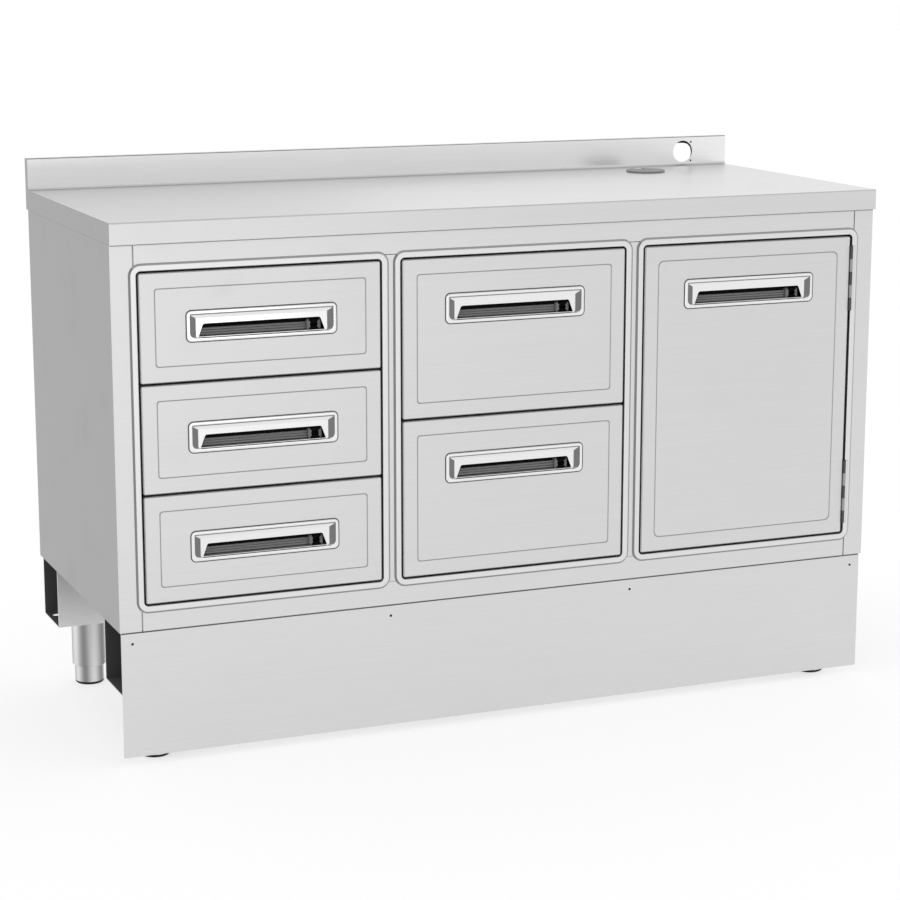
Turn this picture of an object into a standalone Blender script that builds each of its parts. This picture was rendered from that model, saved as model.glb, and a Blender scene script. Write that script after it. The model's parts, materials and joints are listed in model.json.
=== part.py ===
"""Back bar cabinet in folded stainless steel.

A worktop with a rear upstand covers a three-bay body: three drawers on the left, two in the
middle and a hinged door on the right. The body stands on two base rails with adjustable legs
behind a plinth. Metres, +Z up, front towards -Y, origin on the floor under the middle.
"""

import math

import bmesh
import bpy
from mathutils import Matrix, Vector

# Overall sizes
WIDTH = 1.500
DEPTH = 0.620
WORKTOP_HEIGHT = 0.963
UPSTAND_HEIGHT = 0.060
UPSTAND_DEPTH = 0.022

# Gaps that more than one piece shares
SEAT_GAP = 0.0003
SEAM = 0.0008
STILE_SEAM = 0.002

# Worktop
WORKTOP_SHEET = 0.0015
WORKTOP_EDGE = 0.038
WORKTOP_RETURN = 0.025
EDGE_RADIUS = 0.0025
COVE_RADIUS = 0.006
SOCKET_HOLE_RADIUS = 0.0225
SOCKET_FROM_END = 0.1014
SOCKET_ABOVE_TOP = 0.029
SOCKET_SCREW_RADIUS = 0.002
SOCKET_SCREW_SPACING = 0.039
SOCKET_ACCESS_WIDTH = 0.070
SOCKET_ACCESS_HEIGHT = 0.042
SOCKET_ACCESS_CORNER = 0.018
SOCKET_ACCESS_REACH = 0.031
UPSTAND_REAR_LIP = 0.015

# Cable grommet
GROMMET_FROM_END = 0.240
GROMMET_FROM_REAR = 0.123
GROMMET_RADIUS = 0.0395
GROMMET_SLEEVE_RADIUS = 0.0295
GROMMET_SLEEVE_LENGTH = 0.022
GROMMET_WALL = 0.003
GROMMET_FLANGE = 0.0013
GROMMET_CAP_THICKNESS = 0.0018
GROMMET_SPIGOT_LENGTH = 0.008
GROMMET_SPIGOT_WALL = 0.002
GROMMET_NOTCH_WIDTH = 0.020
GROMMET_NOTCH_DEPTH = 0.026
TURNING_GAP = 0.0004

# Body
BODY_BOTTOM = 0.246
BODY_SIDE_INSET = 0.001
BODY_FRONT_SETBACK = 0.0075
BODY_REAR_SETBACK = 0.010
PANEL_SHEET = 0.0012
STILE_WIDTH = 0.040
BACK_FLANGE = 0.025
TOP_RAIL_SHOW = 0.0334
BOTTOM_RAIL_SHOW = 0.0316
TOP_RAIL_DEPTH = 0.040
TOP_RAIL_GAP = 0.006
SHELF_LIFT = 0.260
SHELF_FLANGE = 0.025
SHELF_SETBACK = 0.060
LEDGE_WIDTH = 0.018
LEDGE_THICKNESS = 0.003

# Bay frames
MULLION_SHOW = 0.008
FRAME_STILE_LAP = 0.0085
FRAME_BAND = 0.0135
FRAME_PROUD = 0.003
FRAME_ROUND = 0.002
FRAME_CORNER = 0.005
SLEEVE_SHEET = 0.0015
SLEEVE_DEPTH = 0.014

# Drawer and door fronts
FRONT_GAP = 0.0033
DRAWER_GAP = 0.0036
FRONT_DEPTH = 0.024
FRONT_SKIN = 0.002
FRONT_WALL = 0.0012
FRONT_CORNER = 0.0035
FRONT_EDGE_RADIUS = 0.0018
GROOVE_INSET = 0.027
GROOVE_WIDTH = 0.002
GROOVE_DEPTH = 0.0008
DRAWER_GROOVE_CORNER = 0.005
DOOR_GROOVE_CORNER = 0.010

# Recessed pulls
HANDLE_WIDTH = 0.276
HANDLE_HEIGHT = 0.057
HANDLE_CORNER = 0.010
HANDLE_BELOW_TOP = 0.092
BEZEL_WIDTH = 0.008
BEZEL_HEIGHT = 0.0018
BEZEL_ROUND = 0.001
HOOD_RECESS = 0.003
HOOD_SIDE_RUN = 0.0105
HOOD_TOP_RUN = 0.0075
HOOD_BOTTOM_RUN = 0.0006
HOOD_SHEET = 0.0012
HOOD_HEIGHT = 0.017
SLOT_SIDE_TOP = 0.0235
SLOT_SIDE_BOTTOM = 0.015
SLOT_FOOT = 0.0014
CUP_DEPTH = 0.020
CUP_WALL = 0.0014
CUP_CORNER = 0.006
HANDLE_CLEARANCE = 0.0005

# Door hinges
HINGE_GAP = 0.005
HINGE_PROUD = 0.0012
HINGE_FROM_END = 0.018
HINGE_LENGTH = 0.125
KNUCKLE_COUNT = 5
KNUCKLE_RADIUS = 0.003
KNUCKLE_GAP = 0.0004
PIN_RADIUS = 0.0014
PIN_CLEARANCE = 0.00008
LEAF_SHEET = 0.001
FRAME_LEAF_REACH = 0.0087
DOOR_LEAF_REACH = 0.016

# Drawer boxes and slides
DRAWER_SHEET = 0.0012
BOX_LENGTH = 0.500
BOX_ABOVE_FRONT = 0.018
BOX_BELOW_FRONT = 0.042
SLIDE_SHEET = 0.0012
SLIDE_CLEARANCE = 0.0004
SLIDE_DEPTH = 0.0132
SLIDE_HEIGHT = 0.045
SLIDE_ABOVE_BOX = 0.012
SLIDE_SIDE_GAP = 0.0006
SLIDE_END_GAP = 0.002
PASS_CLEARANCE = 0.001
POST_SHEET = 0.0015
POST_WIDTH = 0.030
POST_FROM_END = 0.060
POST_BELOW_OPENING = 0.030

# Base
PLINTH_INSET = 0.004
PLINTH_RECESS = 0.003
PLINTH_SHEET = 0.0015
PLINTH_TOP_GAP = 0.003
PLINTH_LIFT = 0.017
PLINTH_HEM = 0.015
BASE_RAIL_WIDTH = 0.114
BASE_RAIL_HEIGHT = 0.115
BASE_RAIL_SHEET = 0.002
BASE_RAIL_LIP = 0.020
BASE_RAIL_REAR_SETBACK = 0.012
BOLT_HOLE_RADIUS = 0.007
BOLT_HOLE_FROM_END = 0.016
BOLT_HOLE_FROM_REAR = 0.026
LEG_FROM_END = 0.0755
LEG_RADIUS = 0.0325
LEG_WALL = 0.002
LEG_TOP_PLATE = 0.004
LEG_COLLAR = 0.020
FOOT_SHOW = 0.0376
FOOT_RADIUS = 0.028
FOOT_WALL = 0.002
FOOT_SOLE_RADIUS = 0.025
FOOT_SOLE_HEIGHT = 0.004
FOOT_SOLE_THICKNESS = 0.006
FOOT_ENGAGEMENT = 0.055

# Facets of curves
CORNER_STEPS = 3
ROUND_STEPS = 24
SMALL_ROUND_STEPS = 12
SHARPEST_CORNER = 0.0005
CUT_MARGIN = 0.004
SMOOTH_ANGLE = math.radians(32)

# Planes worked out from the sizes above
FRONT_Y = -DEPTH / 2 + BODY_FRONT_SETBACK
REAR_Y = DEPTH / 2 - BODY_REAR_SETBACK
FACE_Y = FRONT_Y - FRAME_PROUD
BODY_HALF = WIDTH / 2 - BODY_SIDE_INSET
BODY_TOP = WORKTOP_HEIGHT - WORKTOP_EDGE
PANEL_TOP = BODY_TOP - SEAT_GAP
STILE_X = BODY_HALF - STILE_WIDTH
FRAME_HALF = (STILE_X + FRAME_STILE_LAP - MULLION_SHOW) / 3
BAY_PITCH = 2 * FRAME_HALF + MULLION_SHOW
OPENING_HALF = FRAME_HALF - FRAME_BAND
OPENING_BOTTOM = BODY_BOTTOM + BOTTOM_RAIL_SHOW + FRAME_BAND
OPENING_TOP = BODY_TOP - TOP_RAIL_SHOW - FRAME_BAND
FLOOR_TOP = OPENING_BOTTOM - SLEEVE_SHEET - SEAM
TOP_RAIL_BOTTOM = OPENING_TOP + SLEEVE_SHEET + TOP_RAIL_GAP
FRONTS_BOTTOM = OPENING_BOTTOM + FRONT_GAP
FRONTS_TOP = OPENING_TOP - FRONT_GAP
FRONT_REAR_Y = FACE_Y + FRONT_DEPTH
PARTITION_X = BAY_PITCH / 2
RAIL_OUT = OPENING_HALF - PASS_CLEARANCE + SLIDE_CLEARANCE + SLIDE_SHEET
BOX_HALF = RAIL_OUT - SLIDE_DEPTH
BOX_FRONT_Y = FRONT_REAR_Y + SEAT_GAP
BOX_REAR_Y = BOX_FRONT_Y + BOX_LENGTH
SLIDE_FRONT_Y = BOX_FRONT_Y + SLIDE_END_GAP
SLIDE_REAR_Y = BOX_REAR_Y - SLIDE_END_GAP
BASE_HALF = WIDTH / 2 - PLINTH_INSET
BASE_TOP = BODY_BOTTOM - SEAT_GAP
BASE_RAIL_BOTTOM = BASE_TOP - BASE_RAIL_HEIGHT
PLINTH_Y = FRONT_Y + PLINTH_RECESS
FRONT_RAIL_Y = PLINTH_Y + PLINTH_SHEET + SEAT_GAP
REAR_RAIL_Y = REAR_Y - BASE_RAIL_REAR_SETBACK - BASE_RAIL_WIDTH
SHELF_TOP = FLOOR_TOP + SHELF_LIFT

# Finishes as colour, roughness and metallic value
BRUSHED_STEEL = ((0.70, 0.70, 0.70), 0.34, 1.0)
PLAIN_STEEL = ((0.62, 0.62, 0.62), 0.40, 1.0)
POLISHED_STEEL = ((0.80, 0.80, 0.81), 0.12, 1.0)
GREY_PLASTIC = ((0.30, 0.30, 0.30), 0.55, 0.0)

BAYS = {"left": -BAY_PITCH, "centre": 0.0, "right": BAY_PITCH}
DRAWER_ROWS = {"left": ("top", "middle", "bottom"), "centre": ("top", "bottom")}
SIDES = ("left", "right")


def outward(side):
    """Direction along X from the middle to one side."""
    return -1 if side == "left" else 1


def clear_scene():
    """Remove every object of the scene."""
    for obj in list(bpy.data.objects):
        bpy.data.objects.remove(obj, do_unlink=True)


def add_object(name, bm):
    """Make an object of a finished bmesh."""
    bmesh.ops.recalc_face_normals(bm, faces=bm.faces)
    mesh = bpy.data.meshes.new(name)
    bm.to_mesh(mesh)
    bm.free()
    obj = bpy.data.objects.new(name, mesh)
    bpy.context.scene.collection.objects.link(obj)
    return obj


def skin(name, loops, ring=False):
    """Bridge loops of equally many points into a solid, capped at both ends or joined into a ring."""
    bm = bmesh.new()
    rows = [[bm.verts.new(point) for point in loop] for loop in loops]
    pairs = list(zip(rows, rows[1:]))
    if ring:
        pairs.append((rows[-1], rows[0]))
    else:
        bm.faces.new(rows[0])
        bm.faces.new(rows[-1])
    for first, second in pairs:
        for i in range(len(first)):
            j = (i + 1) % len(first)
            bm.faces.new((first[i], first[j], second[j], second[i]))
    return add_object(name, bm)


def prism(name, outline, axis, low, high):
    """Extrude a flat outline along an axis; the outline gives the other two coordinates in X, Y, Z order."""
    place = "XYZ".index(axis)
    loops = []
    for level in (low, high):
        loops.append([point[:place] + (level,) + point[place:] for point in outline])
    return skin(name, loops)


def box_outline(low_a, high_a, low_b, high_b):
    """Four corners of a rectangle."""
    return [(low_a, low_b), (high_a, low_b), (high_a, high_b), (low_a, high_b)]


def block(name, x, y, z):
    """Rectangular solid between two limits on each axis."""
    return prism(name, box_outline(*x, *y), "Z", *z)


def arc(centre, radius, start, end, steps):
    """Points along an arc in degrees."""
    points = []
    for i in range(steps + 1):
        angle = math.radians(start + (end - start) * i / steps)
        points.append((centre[0] + radius * math.cos(angle), centre[1] + radius * math.sin(angle)))
    return points


def rounded_outline(low_a, high_a, low_b, high_b, radius):
    """Rectangle with round corners."""
    radius = max(radius, SHARPEST_CORNER)
    corners = (
        (high_a - radius, high_b - radius, 0),
        (low_a + radius, high_b - radius, 90),
        (low_a + radius, low_b + radius, 180),
        (high_a - radius, low_b + radius, 270),
    )
    points = []
    for a, b, start in corners:
        points += arc((a, b), radius, start, start + 90, CORNER_STEPS)
    return points


def front_loop(low_x, high_x, low_z, high_z, radius, y):
    """Rounded rectangle that stands upright at one depth."""
    return [(x, y, z) for x, z in rounded_outline(low_x, high_x, low_z, high_z, radius)]


def circle(centre, radius, z, steps=ROUND_STEPS):
    """Level circle as a loop of points."""
    points = []
    for i in range(steps):
        angle = 2 * math.pi * i / steps
        x = centre[0] + radius * math.cos(angle)
        y = centre[1] + radius * math.sin(angle)
        points.append((x, y, z))
    return points


def turned(name, centre, profile, ring=False, steps=ROUND_STEPS):
    """Turned solid on an upright axis from (radius, z) points."""
    return skin(name, [circle(centre, radius, z, steps) for radius, z in profile], ring)


def drilled(name, x, z, radius, low_y, high_y, steps=ROUND_STEPS):
    """Round cutter along Y."""
    outline = [(px, pz) for px, pz, _ in circle((x, z), radius, 0, steps)]
    return prism(name, outline, "Y", low_y, high_y)


def pan(name, x, y, z, open_side, wall):
    """Folded tray: a rectangular solid, hollow from one open side with walls of one thickness."""
    axis = open_side[1]
    limits = {"X": x, "Y": y, "Z": z}
    others = [limits[key] for key in "XYZ" if key != axis]
    low, high = limits[axis]
    opening, base, inner = (high, low, low + wall) if open_side[0] == "+" else (low, high, high - wall)
    outer_outline = box_outline(*others[0], *others[1])
    shrunk = [(limit[0] + wall, limit[1] - wall) for limit in others]
    inner_outline = box_outline(*shrunk[0], *shrunk[1])
    place = "XYZ".index(axis)
    levels = (
        (outer_outline, base),
        (outer_outline, opening),
        (inner_outline, opening),
        (inner_outline, inner),
    )
    loops = []
    for outline, level in levels:
        loops.append([point[:place] + (level,) + point[place:] for point in outline])
    return skin(name, loops)


def combine(obj, others, operation):
    """Join other solids to an object or cut them out of it, and remove them."""
    for other in others:
        modifier = obj.modifiers.new("combine", "BOOLEAN")
        modifier.operation = operation
        modifier.solver = "EXACT"
        modifier.object = other
    bpy.context.view_layer.update()
    graph = bpy.context.evaluated_depsgraph_get()
    shaped = bpy.data.meshes.new_from_object(obj.evaluated_get(graph))
    shaped.name = obj.name
    obj.modifiers.clear()
    obj.data = shaped
    for other in others:
        bpy.data.objects.remove(other, do_unlink=True)
    return obj


def join(obj, *others):
    """Weld other solids onto an object."""
    return combine(obj, others, "UNION")


def cut(obj, *others):
    """Cut other solids out of an object."""
    return combine(obj, others, "DIFFERENCE")


def dress(obj, finish):
    """Give an object its own material and smooth round faces."""
    colour, roughness, metallic = finish
    material = bpy.data.materials.new(obj.name)
    material.use_nodes = True
    shader = material.node_tree.nodes["Principled BSDF"]
    shader.inputs["Base Color"].default_value = (*colour, 1.0)
    shader.inputs["Roughness"].default_value = roughness
    shader.inputs["Metallic"].default_value = metallic
    obj.data.materials.clear()
    obj.data.materials.append(material)
    obj.data.shade_smooth()
    obj.data.set_sharp_from_angle(angle=SMOOTH_ANGLE)
    return obj


def pivot(name, point, pieces):
    """Hang moving pieces on an empty that stands on their joint's axis."""
    empty = bpy.data.objects.new(name, None)
    empty.location = point
    bpy.context.scene.collection.objects.link(empty)
    shift = Matrix.Translation(-Vector(point))
    for piece in pieces:
        piece.data.transform(shift)
        piece.parent = empty
    return empty


def worktop_section(inset):
    """Outline of the worktop and upstand in Y and Z, drawn in by a sheet thickness for the hollow."""
    front = -DEPTH / 2
    rear = DEPTH / 2
    face = rear - UPSTAND_DEPTH
    crown = WORKTOP_HEIGHT + UPSTAND_HEIGHT
    turn = EDGE_RADIUS
    bend = turn - inset
    points = [(rear - inset, BODY_TOP + inset), (front + inset, BODY_TOP + inset)]
    points += arc((front + turn, WORKTOP_HEIGHT - turn), bend, 180, 90, CORNER_STEPS)
    cove = (face - COVE_RADIUS, WORKTOP_HEIGHT + COVE_RADIUS)
    points += arc(cove, COVE_RADIUS + inset, -90, 0, CORNER_STEPS)
    points += arc((face + turn, crown - turn), bend, 180, 90, CORNER_STEPS)
    points += arc((rear - turn, crown - turn), bend, 90, 0, CORNER_STEPS)
    return points


def grommet_place():
    """Centre of the cable grommet on the worktop."""
    return WIDTH / 2 - GROMMET_FROM_END, DEPTH / 2 - GROMMET_FROM_REAR


def make_worktop():
    """Folded worktop with its upstand, return lips, grommet hole, and socket hole with rear access."""
    worktop = prism("worktop", worktop_section(0), "X", -WIDTH / 2, WIDTH / 2)
    hollow_half = WIDTH / 2 - WORKTOP_SHEET
    hollow = prism("hollow", worktop_section(WORKTOP_SHEET), "X", -hollow_half, hollow_half)
    mouth_half = hollow_half - WORKTOP_RETURN
    mouth_y = DEPTH / 2 - WORKTOP_SHEET - WORKTOP_RETURN
    mouth_z = (BODY_TOP - CUT_MARGIN, BODY_TOP + WORKTOP_SHEET + CUT_MARGIN)
    mouth = block("mouth", (-mouth_half, mouth_half), (-mouth_y, mouth_y), mouth_z)
    hole_radius = GROMMET_SLEEVE_RADIUS + SEAT_GAP
    hole_z = (WORKTOP_HEIGHT - WORKTOP_SHEET - CUT_MARGIN, WORKTOP_HEIGHT + CUT_MARGIN)
    hole = turned("hole", grommet_place(), [(hole_radius, hole_z[0]), (hole_radius, hole_z[1])])
    socket_x = WIDTH / 2 - SOCKET_FROM_END
    socket_z = WORKTOP_HEIGHT + SOCKET_ABOVE_TOP
    face_y = DEPTH / 2 - UPSTAND_DEPTH
    front_cut = (face_y - CUT_MARGIN, face_y + WORKTOP_SHEET + CUT_MARGIN)
    rear_cut = (DEPTH / 2 - WORKTOP_SHEET - CUT_MARGIN, DEPTH / 2 + CUT_MARGIN)
    cutters = [hollow, mouth, hole]
    cutters.append(drilled("socket", socket_x, socket_z, SOCKET_HOLE_RADIUS, *front_cut))
    screw_x = socket_x + SOCKET_SCREW_SPACING / 2
    for screw_z in (socket_z - SOCKET_SCREW_SPACING / 2, socket_z + SOCKET_SCREW_SPACING / 2):
        cutters.append(drilled("screw", screw_x, screw_z, SOCKET_SCREW_RADIUS, *front_cut, SMALL_ROUND_STEPS))
    access_end = socket_x + SOCKET_ACCESS_REACH
    access_x = (access_end - SOCKET_ACCESS_WIDTH, access_end)
    access_top = WORKTOP_HEIGHT + UPSTAND_HEIGHT - UPSTAND_REAR_LIP
    access = rounded_outline(*access_x, access_top - SOCKET_ACCESS_HEIGHT, access_top, SOCKET_ACCESS_CORNER)
    cutters.append(prism("access", access, "Y", *rear_cut))
    dress(cut(worktop, *cutters), BRUSHED_STEEL)


def make_grommet():
    """Cable grommet: a flanged liner in the worktop and a turning cap with a notch for the cable."""
    centre = grommet_place()
    bore = GROMMET_SLEEVE_RADIUS - GROMMET_WALL
    flange_low = WORKTOP_HEIGHT + SEAT_GAP
    flange_high = flange_low + GROMMET_FLANGE
    sleeve_low = WORKTOP_HEIGHT - GROMMET_SLEEVE_LENGTH
    profile = [
        (bore, sleeve_low),
        (bore, flange_high),
        (GROMMET_RADIUS, flange_high),
        (GROMMET_RADIUS, flange_low),
        (GROMMET_SLEEVE_RADIUS, flange_low),
        (GROMMET_SLEEVE_RADIUS, sleeve_low),
    ]
    dress(turned("grommet_liner", centre, profile, ring=True), GREY_PLASTIC)

    cap_low = flange_high + SEAT_GAP
    cap_high = cap_low + GROMMET_CAP_THICKNESS
    cap = turned("grommet_cap", centre, [(GROMMET_RADIUS, cap_low), (GROMMET_RADIUS, cap_high)])
    spigot_radius = bore - TURNING_GAP
    spigot_bore = spigot_radius - GROMMET_SPIGOT_WALL
    spigot_low = cap_low - GROMMET_SPIGOT_LENGTH
    spigot_high = cap_low + GROMMET_CAP_THICKNESS / 2
    spigot_profile = [
        (spigot_bore, spigot_low),
        (spigot_bore, spigot_high),
        (spigot_radius, spigot_high),
        (spigot_radius, spigot_low),
    ]
    join(cap, turned("spigot", centre, spigot_profile, ring=True))
    notch_x = (centre[0] - GROMMET_NOTCH_WIDTH / 2, centre[0] + GROMMET_NOTCH_WIDTH / 2)
    notch_y = (centre[1] + GROMMET_RADIUS - GROMMET_NOTCH_DEPTH, centre[1] + GROMMET_RADIUS + CUT_MARGIN)
    notch_z = (spigot_low - CUT_MARGIN, cap_high + CUT_MARGIN)
    dress(cut(cap, block("notch", notch_x, notch_y, notch_z)), GREY_PLASTIC)
    pivot("grommet_cap_axis", (*centre, cap_low), [cap])


def shelf_limits():
    """Limits in X of the shelf between the right partition and the right side panel."""
    return PARTITION_X + PANEL_SHEET / 2 + SEAT_GAP, BODY_HALF - PANEL_SHEET - SEAT_GAP


def shelf_depth():
    """Limits in Y of the shelf, behind the door and in front of the back panel's flange."""
    return FRONT_REAR_Y + SHELF_SETBACK, REAR_Y - BACK_FLANGE - SEAT_GAP


def ledge(side_x, direction):
    """Angle strip that carries one end of the shelf; it starts inside the sheet it is welded to."""
    root = side_x - direction * PANEL_SHEET / 2
    tip = side_x + direction * LEDGE_WIDTH
    top = SHELF_TOP - SHELF_FLANGE - SEAT_GAP
    y = shelf_depth()
    return block("ledge", (min(root, tip), max(root, tip)), y, (top - LEDGE_THICKNESS, top))


def make_side_panels():
    """Two folded side panels; the front fold is the stile that shows beside the bays."""
    for side in SIDES:
        sign = outward(side)
        outer = sign * BODY_HALF
        x = sorted((outer, sign * STILE_X))
        open_side = "-X" if sign > 0 else "+X"
        panel_y = (FRONT_Y, REAR_Y)
        panel_z = (BODY_BOTTOM, PANEL_TOP)
        panel = pan(f"side_panel_{side}", x, panel_y, panel_z, open_side, PANEL_SHEET)
        if side == "right":
            join(panel, ledge(outer - PANEL_SHEET, -1))
        dress(panel, BRUSHED_STEEL)


def make_body_panels():
    """Floor, back, top rail and shelf between the side panels."""
    half = STILE_X - STILE_SEAM
    x = (-half, half)
    floor_y = (FRONT_Y, REAR_Y)
    floor_z = (BODY_BOTTOM, FLOOR_TOP)
    dress(pan("floor_panel", x, floor_y, floor_z, "-Z", PANEL_SHEET), BRUSHED_STEEL)
    back_z = (FLOOR_TOP + SEAT_GAP, PANEL_TOP)
    dress(pan("back_panel", x, (REAR_Y - BACK_FLANGE, REAR_Y), back_z, "-Y", PANEL_SHEET), PLAIN_STEEL)
    rear = FRONT_Y + TOP_RAIL_DEPTH
    skin_y = FRONT_Y + PANEL_SHEET
    low = TOP_RAIL_BOTTOM
    rail_outline = [
        (rear, low),
        (FRONT_Y, low),
        (FRONT_Y, PANEL_TOP),
        (rear, PANEL_TOP),
        (rear, PANEL_TOP - PANEL_SHEET),
        (skin_y, PANEL_TOP - PANEL_SHEET),
        (skin_y, low + PANEL_SHEET),
        (rear, low + PANEL_SHEET),
    ]
    dress(prism("front_top_rail", rail_outline, "X", -half, half), BRUSHED_STEEL)
    shelf_z = (SHELF_TOP - SHELF_FLANGE, SHELF_TOP)
    dress(pan("shelf", shelf_limits(), shelf_depth(), shelf_z, "-Z", PANEL_SHEET), PLAIN_STEEL)


def make_partitions():
    """Two partitions: an upright web that carries the worktop and a front strip between the bay frames."""
    strip_half = PARTITION_X - OPENING_HALF - SLEEVE_SHEET - SEAM
    foot = FLOOR_TOP + SEAT_GAP
    head = TOP_RAIL_BOTTOM - SEAM
    web_rear = REAR_Y - BACK_FLANGE - SEAT_GAP
    web_step = FRONT_Y + TOP_RAIL_DEPTH + SEAM
    web_top = WORKTOP_HEIGHT - WORKTOP_SHEET - SEAT_GAP
    web_outline = [
        (FRONT_Y + PANEL_SHEET / 2, foot),
        (web_rear, foot),
        (web_rear, web_top),
        (web_step, web_top),
        (web_step, head),
        (FRONT_Y + PANEL_SHEET / 2, head),
    ]
    for side in SIDES:
        middle = outward(side) * PARTITION_X
        strip_x = (middle - strip_half, middle + strip_half)
        partition = block(f"partition_{side}", strip_x, (FRONT_Y, FRONT_Y + PANEL_SHEET), (foot, head))
        web_x = (middle - PANEL_SHEET / 2, middle + PANEL_SHEET / 2)
        pieces = [prism("web", web_outline, "X", *web_x)]
        if side == "right":
            pieces.append(ledge(web_x[1], 1))
        dress(join(partition, *pieces), PLAIN_STEEL)


def make_bay_frames():
    """Raised frame round each bay with rounded edges and a sleeve that runs back into the opening."""
    half_turn = FRAME_ROUND * (1 - math.sqrt(0.5))
    flange_y = FRONT_Y - SEAT_GAP
    sleeve_y = FRONT_Y + SLEEVE_DEPTH
    profile = [
        (0, sleeve_y),
        (0, FACE_Y + FRAME_ROUND),
        (half_turn, FACE_Y + half_turn),
        (FRAME_ROUND, FACE_Y),
        (FRAME_BAND - FRAME_ROUND, FACE_Y),
        (FRAME_BAND - half_turn, FACE_Y + half_turn),
        (FRAME_BAND, FACE_Y + FRAME_ROUND),
        (FRAME_BAND, flange_y),
        (SLEEVE_SHEET, flange_y),
        (SLEEVE_SHEET, sleeve_y),
    ]
    for bay, middle in BAYS.items():
        loops = []
        for out, y in profile:
            half = OPENING_HALF + out
            low, high = OPENING_BOTTOM - out, OPENING_TOP + out
            loops.append(front_loop(middle - half, middle + half, low, high, FRAME_CORNER + out, y))
        dress(skin(f"bay_frame_{bay}", loops, ring=True), BRUSHED_STEEL)


def make_front(name, x, z, groove_corner, handle_at):
    """Hollow drawer or door front with round edges, a groove round its face and an opening for its pull."""
    half_turn = FRONT_EDGE_RADIUS * (1 - math.sqrt(0.5))
    groove_middle = GROOVE_INSET + GROOVE_WIDTH / 2
    steps = [
        (GROOVE_INSET + GROOVE_WIDTH, groove_corner, FACE_Y),
        (groove_middle, groove_corner, FACE_Y + GROOVE_DEPTH),
        (GROOVE_INSET, groove_corner, FACE_Y),
        (FRONT_EDGE_RADIUS, FRONT_CORNER - FRONT_EDGE_RADIUS, FACE_Y),
        (half_turn, FRONT_CORNER - half_turn, FACE_Y + half_turn),
        (0, FRONT_CORNER, FACE_Y + FRONT_EDGE_RADIUS),
        (0, FRONT_CORNER, FRONT_REAR_Y),
    ]
    loops = []
    for inset, corner, y in steps:
        loops.append(front_loop(x[0] + inset, x[1] - inset, z[0] + inset, z[1] - inset, corner, y))
    front = skin(name, loops)
    hollow_x = (x[0] + FRONT_WALL, x[1] - FRONT_WALL)
    hollow_y = (FACE_Y + FRONT_SKIN, FRONT_REAR_Y - FRONT_WALL)
    hollow_z = (z[0] + FRONT_WALL, z[1] - FRONT_WALL)
    hollow = block("hollow", hollow_x, hollow_y, hollow_z)
    half_x, half_z = cup_half()
    half_x += HANDLE_CLEARANCE
    half_z += HANDLE_CLEARANCE
    middle_x, middle_z = handle_at
    opening = rounded_outline(
        middle_x - half_x, middle_x + half_x, middle_z - half_z, middle_z + half_z, CUP_CORNER
    )
    mouth = prism("mouth", opening, "Y", FACE_Y - CUT_MARGIN, FACE_Y + FRONT_SKIN + CUT_MARGIN)
    return dress(cut(front, hollow, mouth), BRUSHED_STEEL)


def cup_half():
    """Half sizes of the cup behind a pull's bezel."""
    return HANDLE_WIDTH / 2 - BEZEL_WIDTH, HANDLE_HEIGHT / 2 - BEZEL_WIDTH + CUP_WALL


def make_handle(name, handle_at):
    """Recessed pull: a bezel, a hood that slopes in from it, and a cup for the fingers behind the hood."""
    middle_x, middle_z = handle_at
    half_x, half_z = HANDLE_WIDTH / 2, HANDLE_HEIGHT / 2
    flange_y = FACE_Y - SEAT_GAP
    bezel_y = flange_y - BEZEL_HEIGHT
    hood_y = bezel_y + HOOD_RECESS
    cup_x, cup_z = cup_half()
    cup_y = flange_y + CUP_DEPTH
    in_x, in_z = half_x - BEZEL_WIDTH, half_z - BEZEL_WIDTH
    lip = BEZEL_ROUND

    def loop(out_x, low_z, high_z, corner, y):
        return front_loop(middle_x - out_x, middle_x + out_x, middle_z + low_z, middle_z + high_z, corner, y)

    loops = [
        loop(in_x - HOOD_SIDE_RUN, -in_z + HOOD_BOTTOM_RUN, in_z - HOOD_TOP_RUN, SHARPEST_CORNER, hood_y),
        loop(in_x, -in_z, in_z, HANDLE_CORNER - BEZEL_WIDTH, bezel_y + lip),
        loop(in_x + lip, -in_z - lip, in_z + lip, HANDLE_CORNER - BEZEL_WIDTH + lip, bezel_y),
        loop(half_x - lip, -half_z + lip, half_z - lip, HANDLE_CORNER - lip, bezel_y),
        loop(half_x, -half_z, half_z, HANDLE_CORNER, bezel_y + lip),
        loop(half_x, -half_z, half_z, HANDLE_CORNER, flange_y),
        loop(cup_x, -cup_z, cup_z, CUP_CORNER, flange_y),
        loop(cup_x, -cup_z, cup_z, CUP_CORNER, cup_y),
    ]
    handle = skin(name, loops)
    pocket_x = cup_x - CUP_WALL
    pocket_z = cup_z - CUP_WALL
    pocket_y = (hood_y + HOOD_SHEET, cup_y - CUP_WALL)
    pocket = block(
        "pocket",
        (middle_x - pocket_x, middle_x + pocket_x),
        pocket_y,
        (middle_z - pocket_z, middle_z + pocket_z),
    )
    slot_top = in_x - SLOT_SIDE_TOP
    slot_bottom = in_x - SLOT_SIDE_BOTTOM
    lip_z = middle_z + in_z - HOOD_HEIGHT
    foot_z = middle_z - in_z + SLOT_FOOT
    slot_outline = [
        (middle_x - slot_bottom, foot_z),
        (middle_x + slot_bottom, foot_z),
        (middle_x + slot_top, lip_z),
        (middle_x - slot_top, lip_z),
    ]
    slot = prism("slot", slot_outline, "Y", bezel_y - CUT_MARGIN, pocket_y[0] + CUT_MARGIN)
    return dress(cut(handle, pocket, slot), POLISHED_STEEL)


def channel_outline(tip, web, low, high, sheet):
    """Outline of a channel in X and Z, from its flange tips to its web."""
    inner = web - math.copysign(sheet, web - tip)
    return [
        (tip, low),
        (web, low),
        (web, high),
        (tip, high),
        (tip, high - sheet),
        (inner, high - sheet),
        (inner, low + sheet),
        (tip, low + sheet),
    ]


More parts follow.
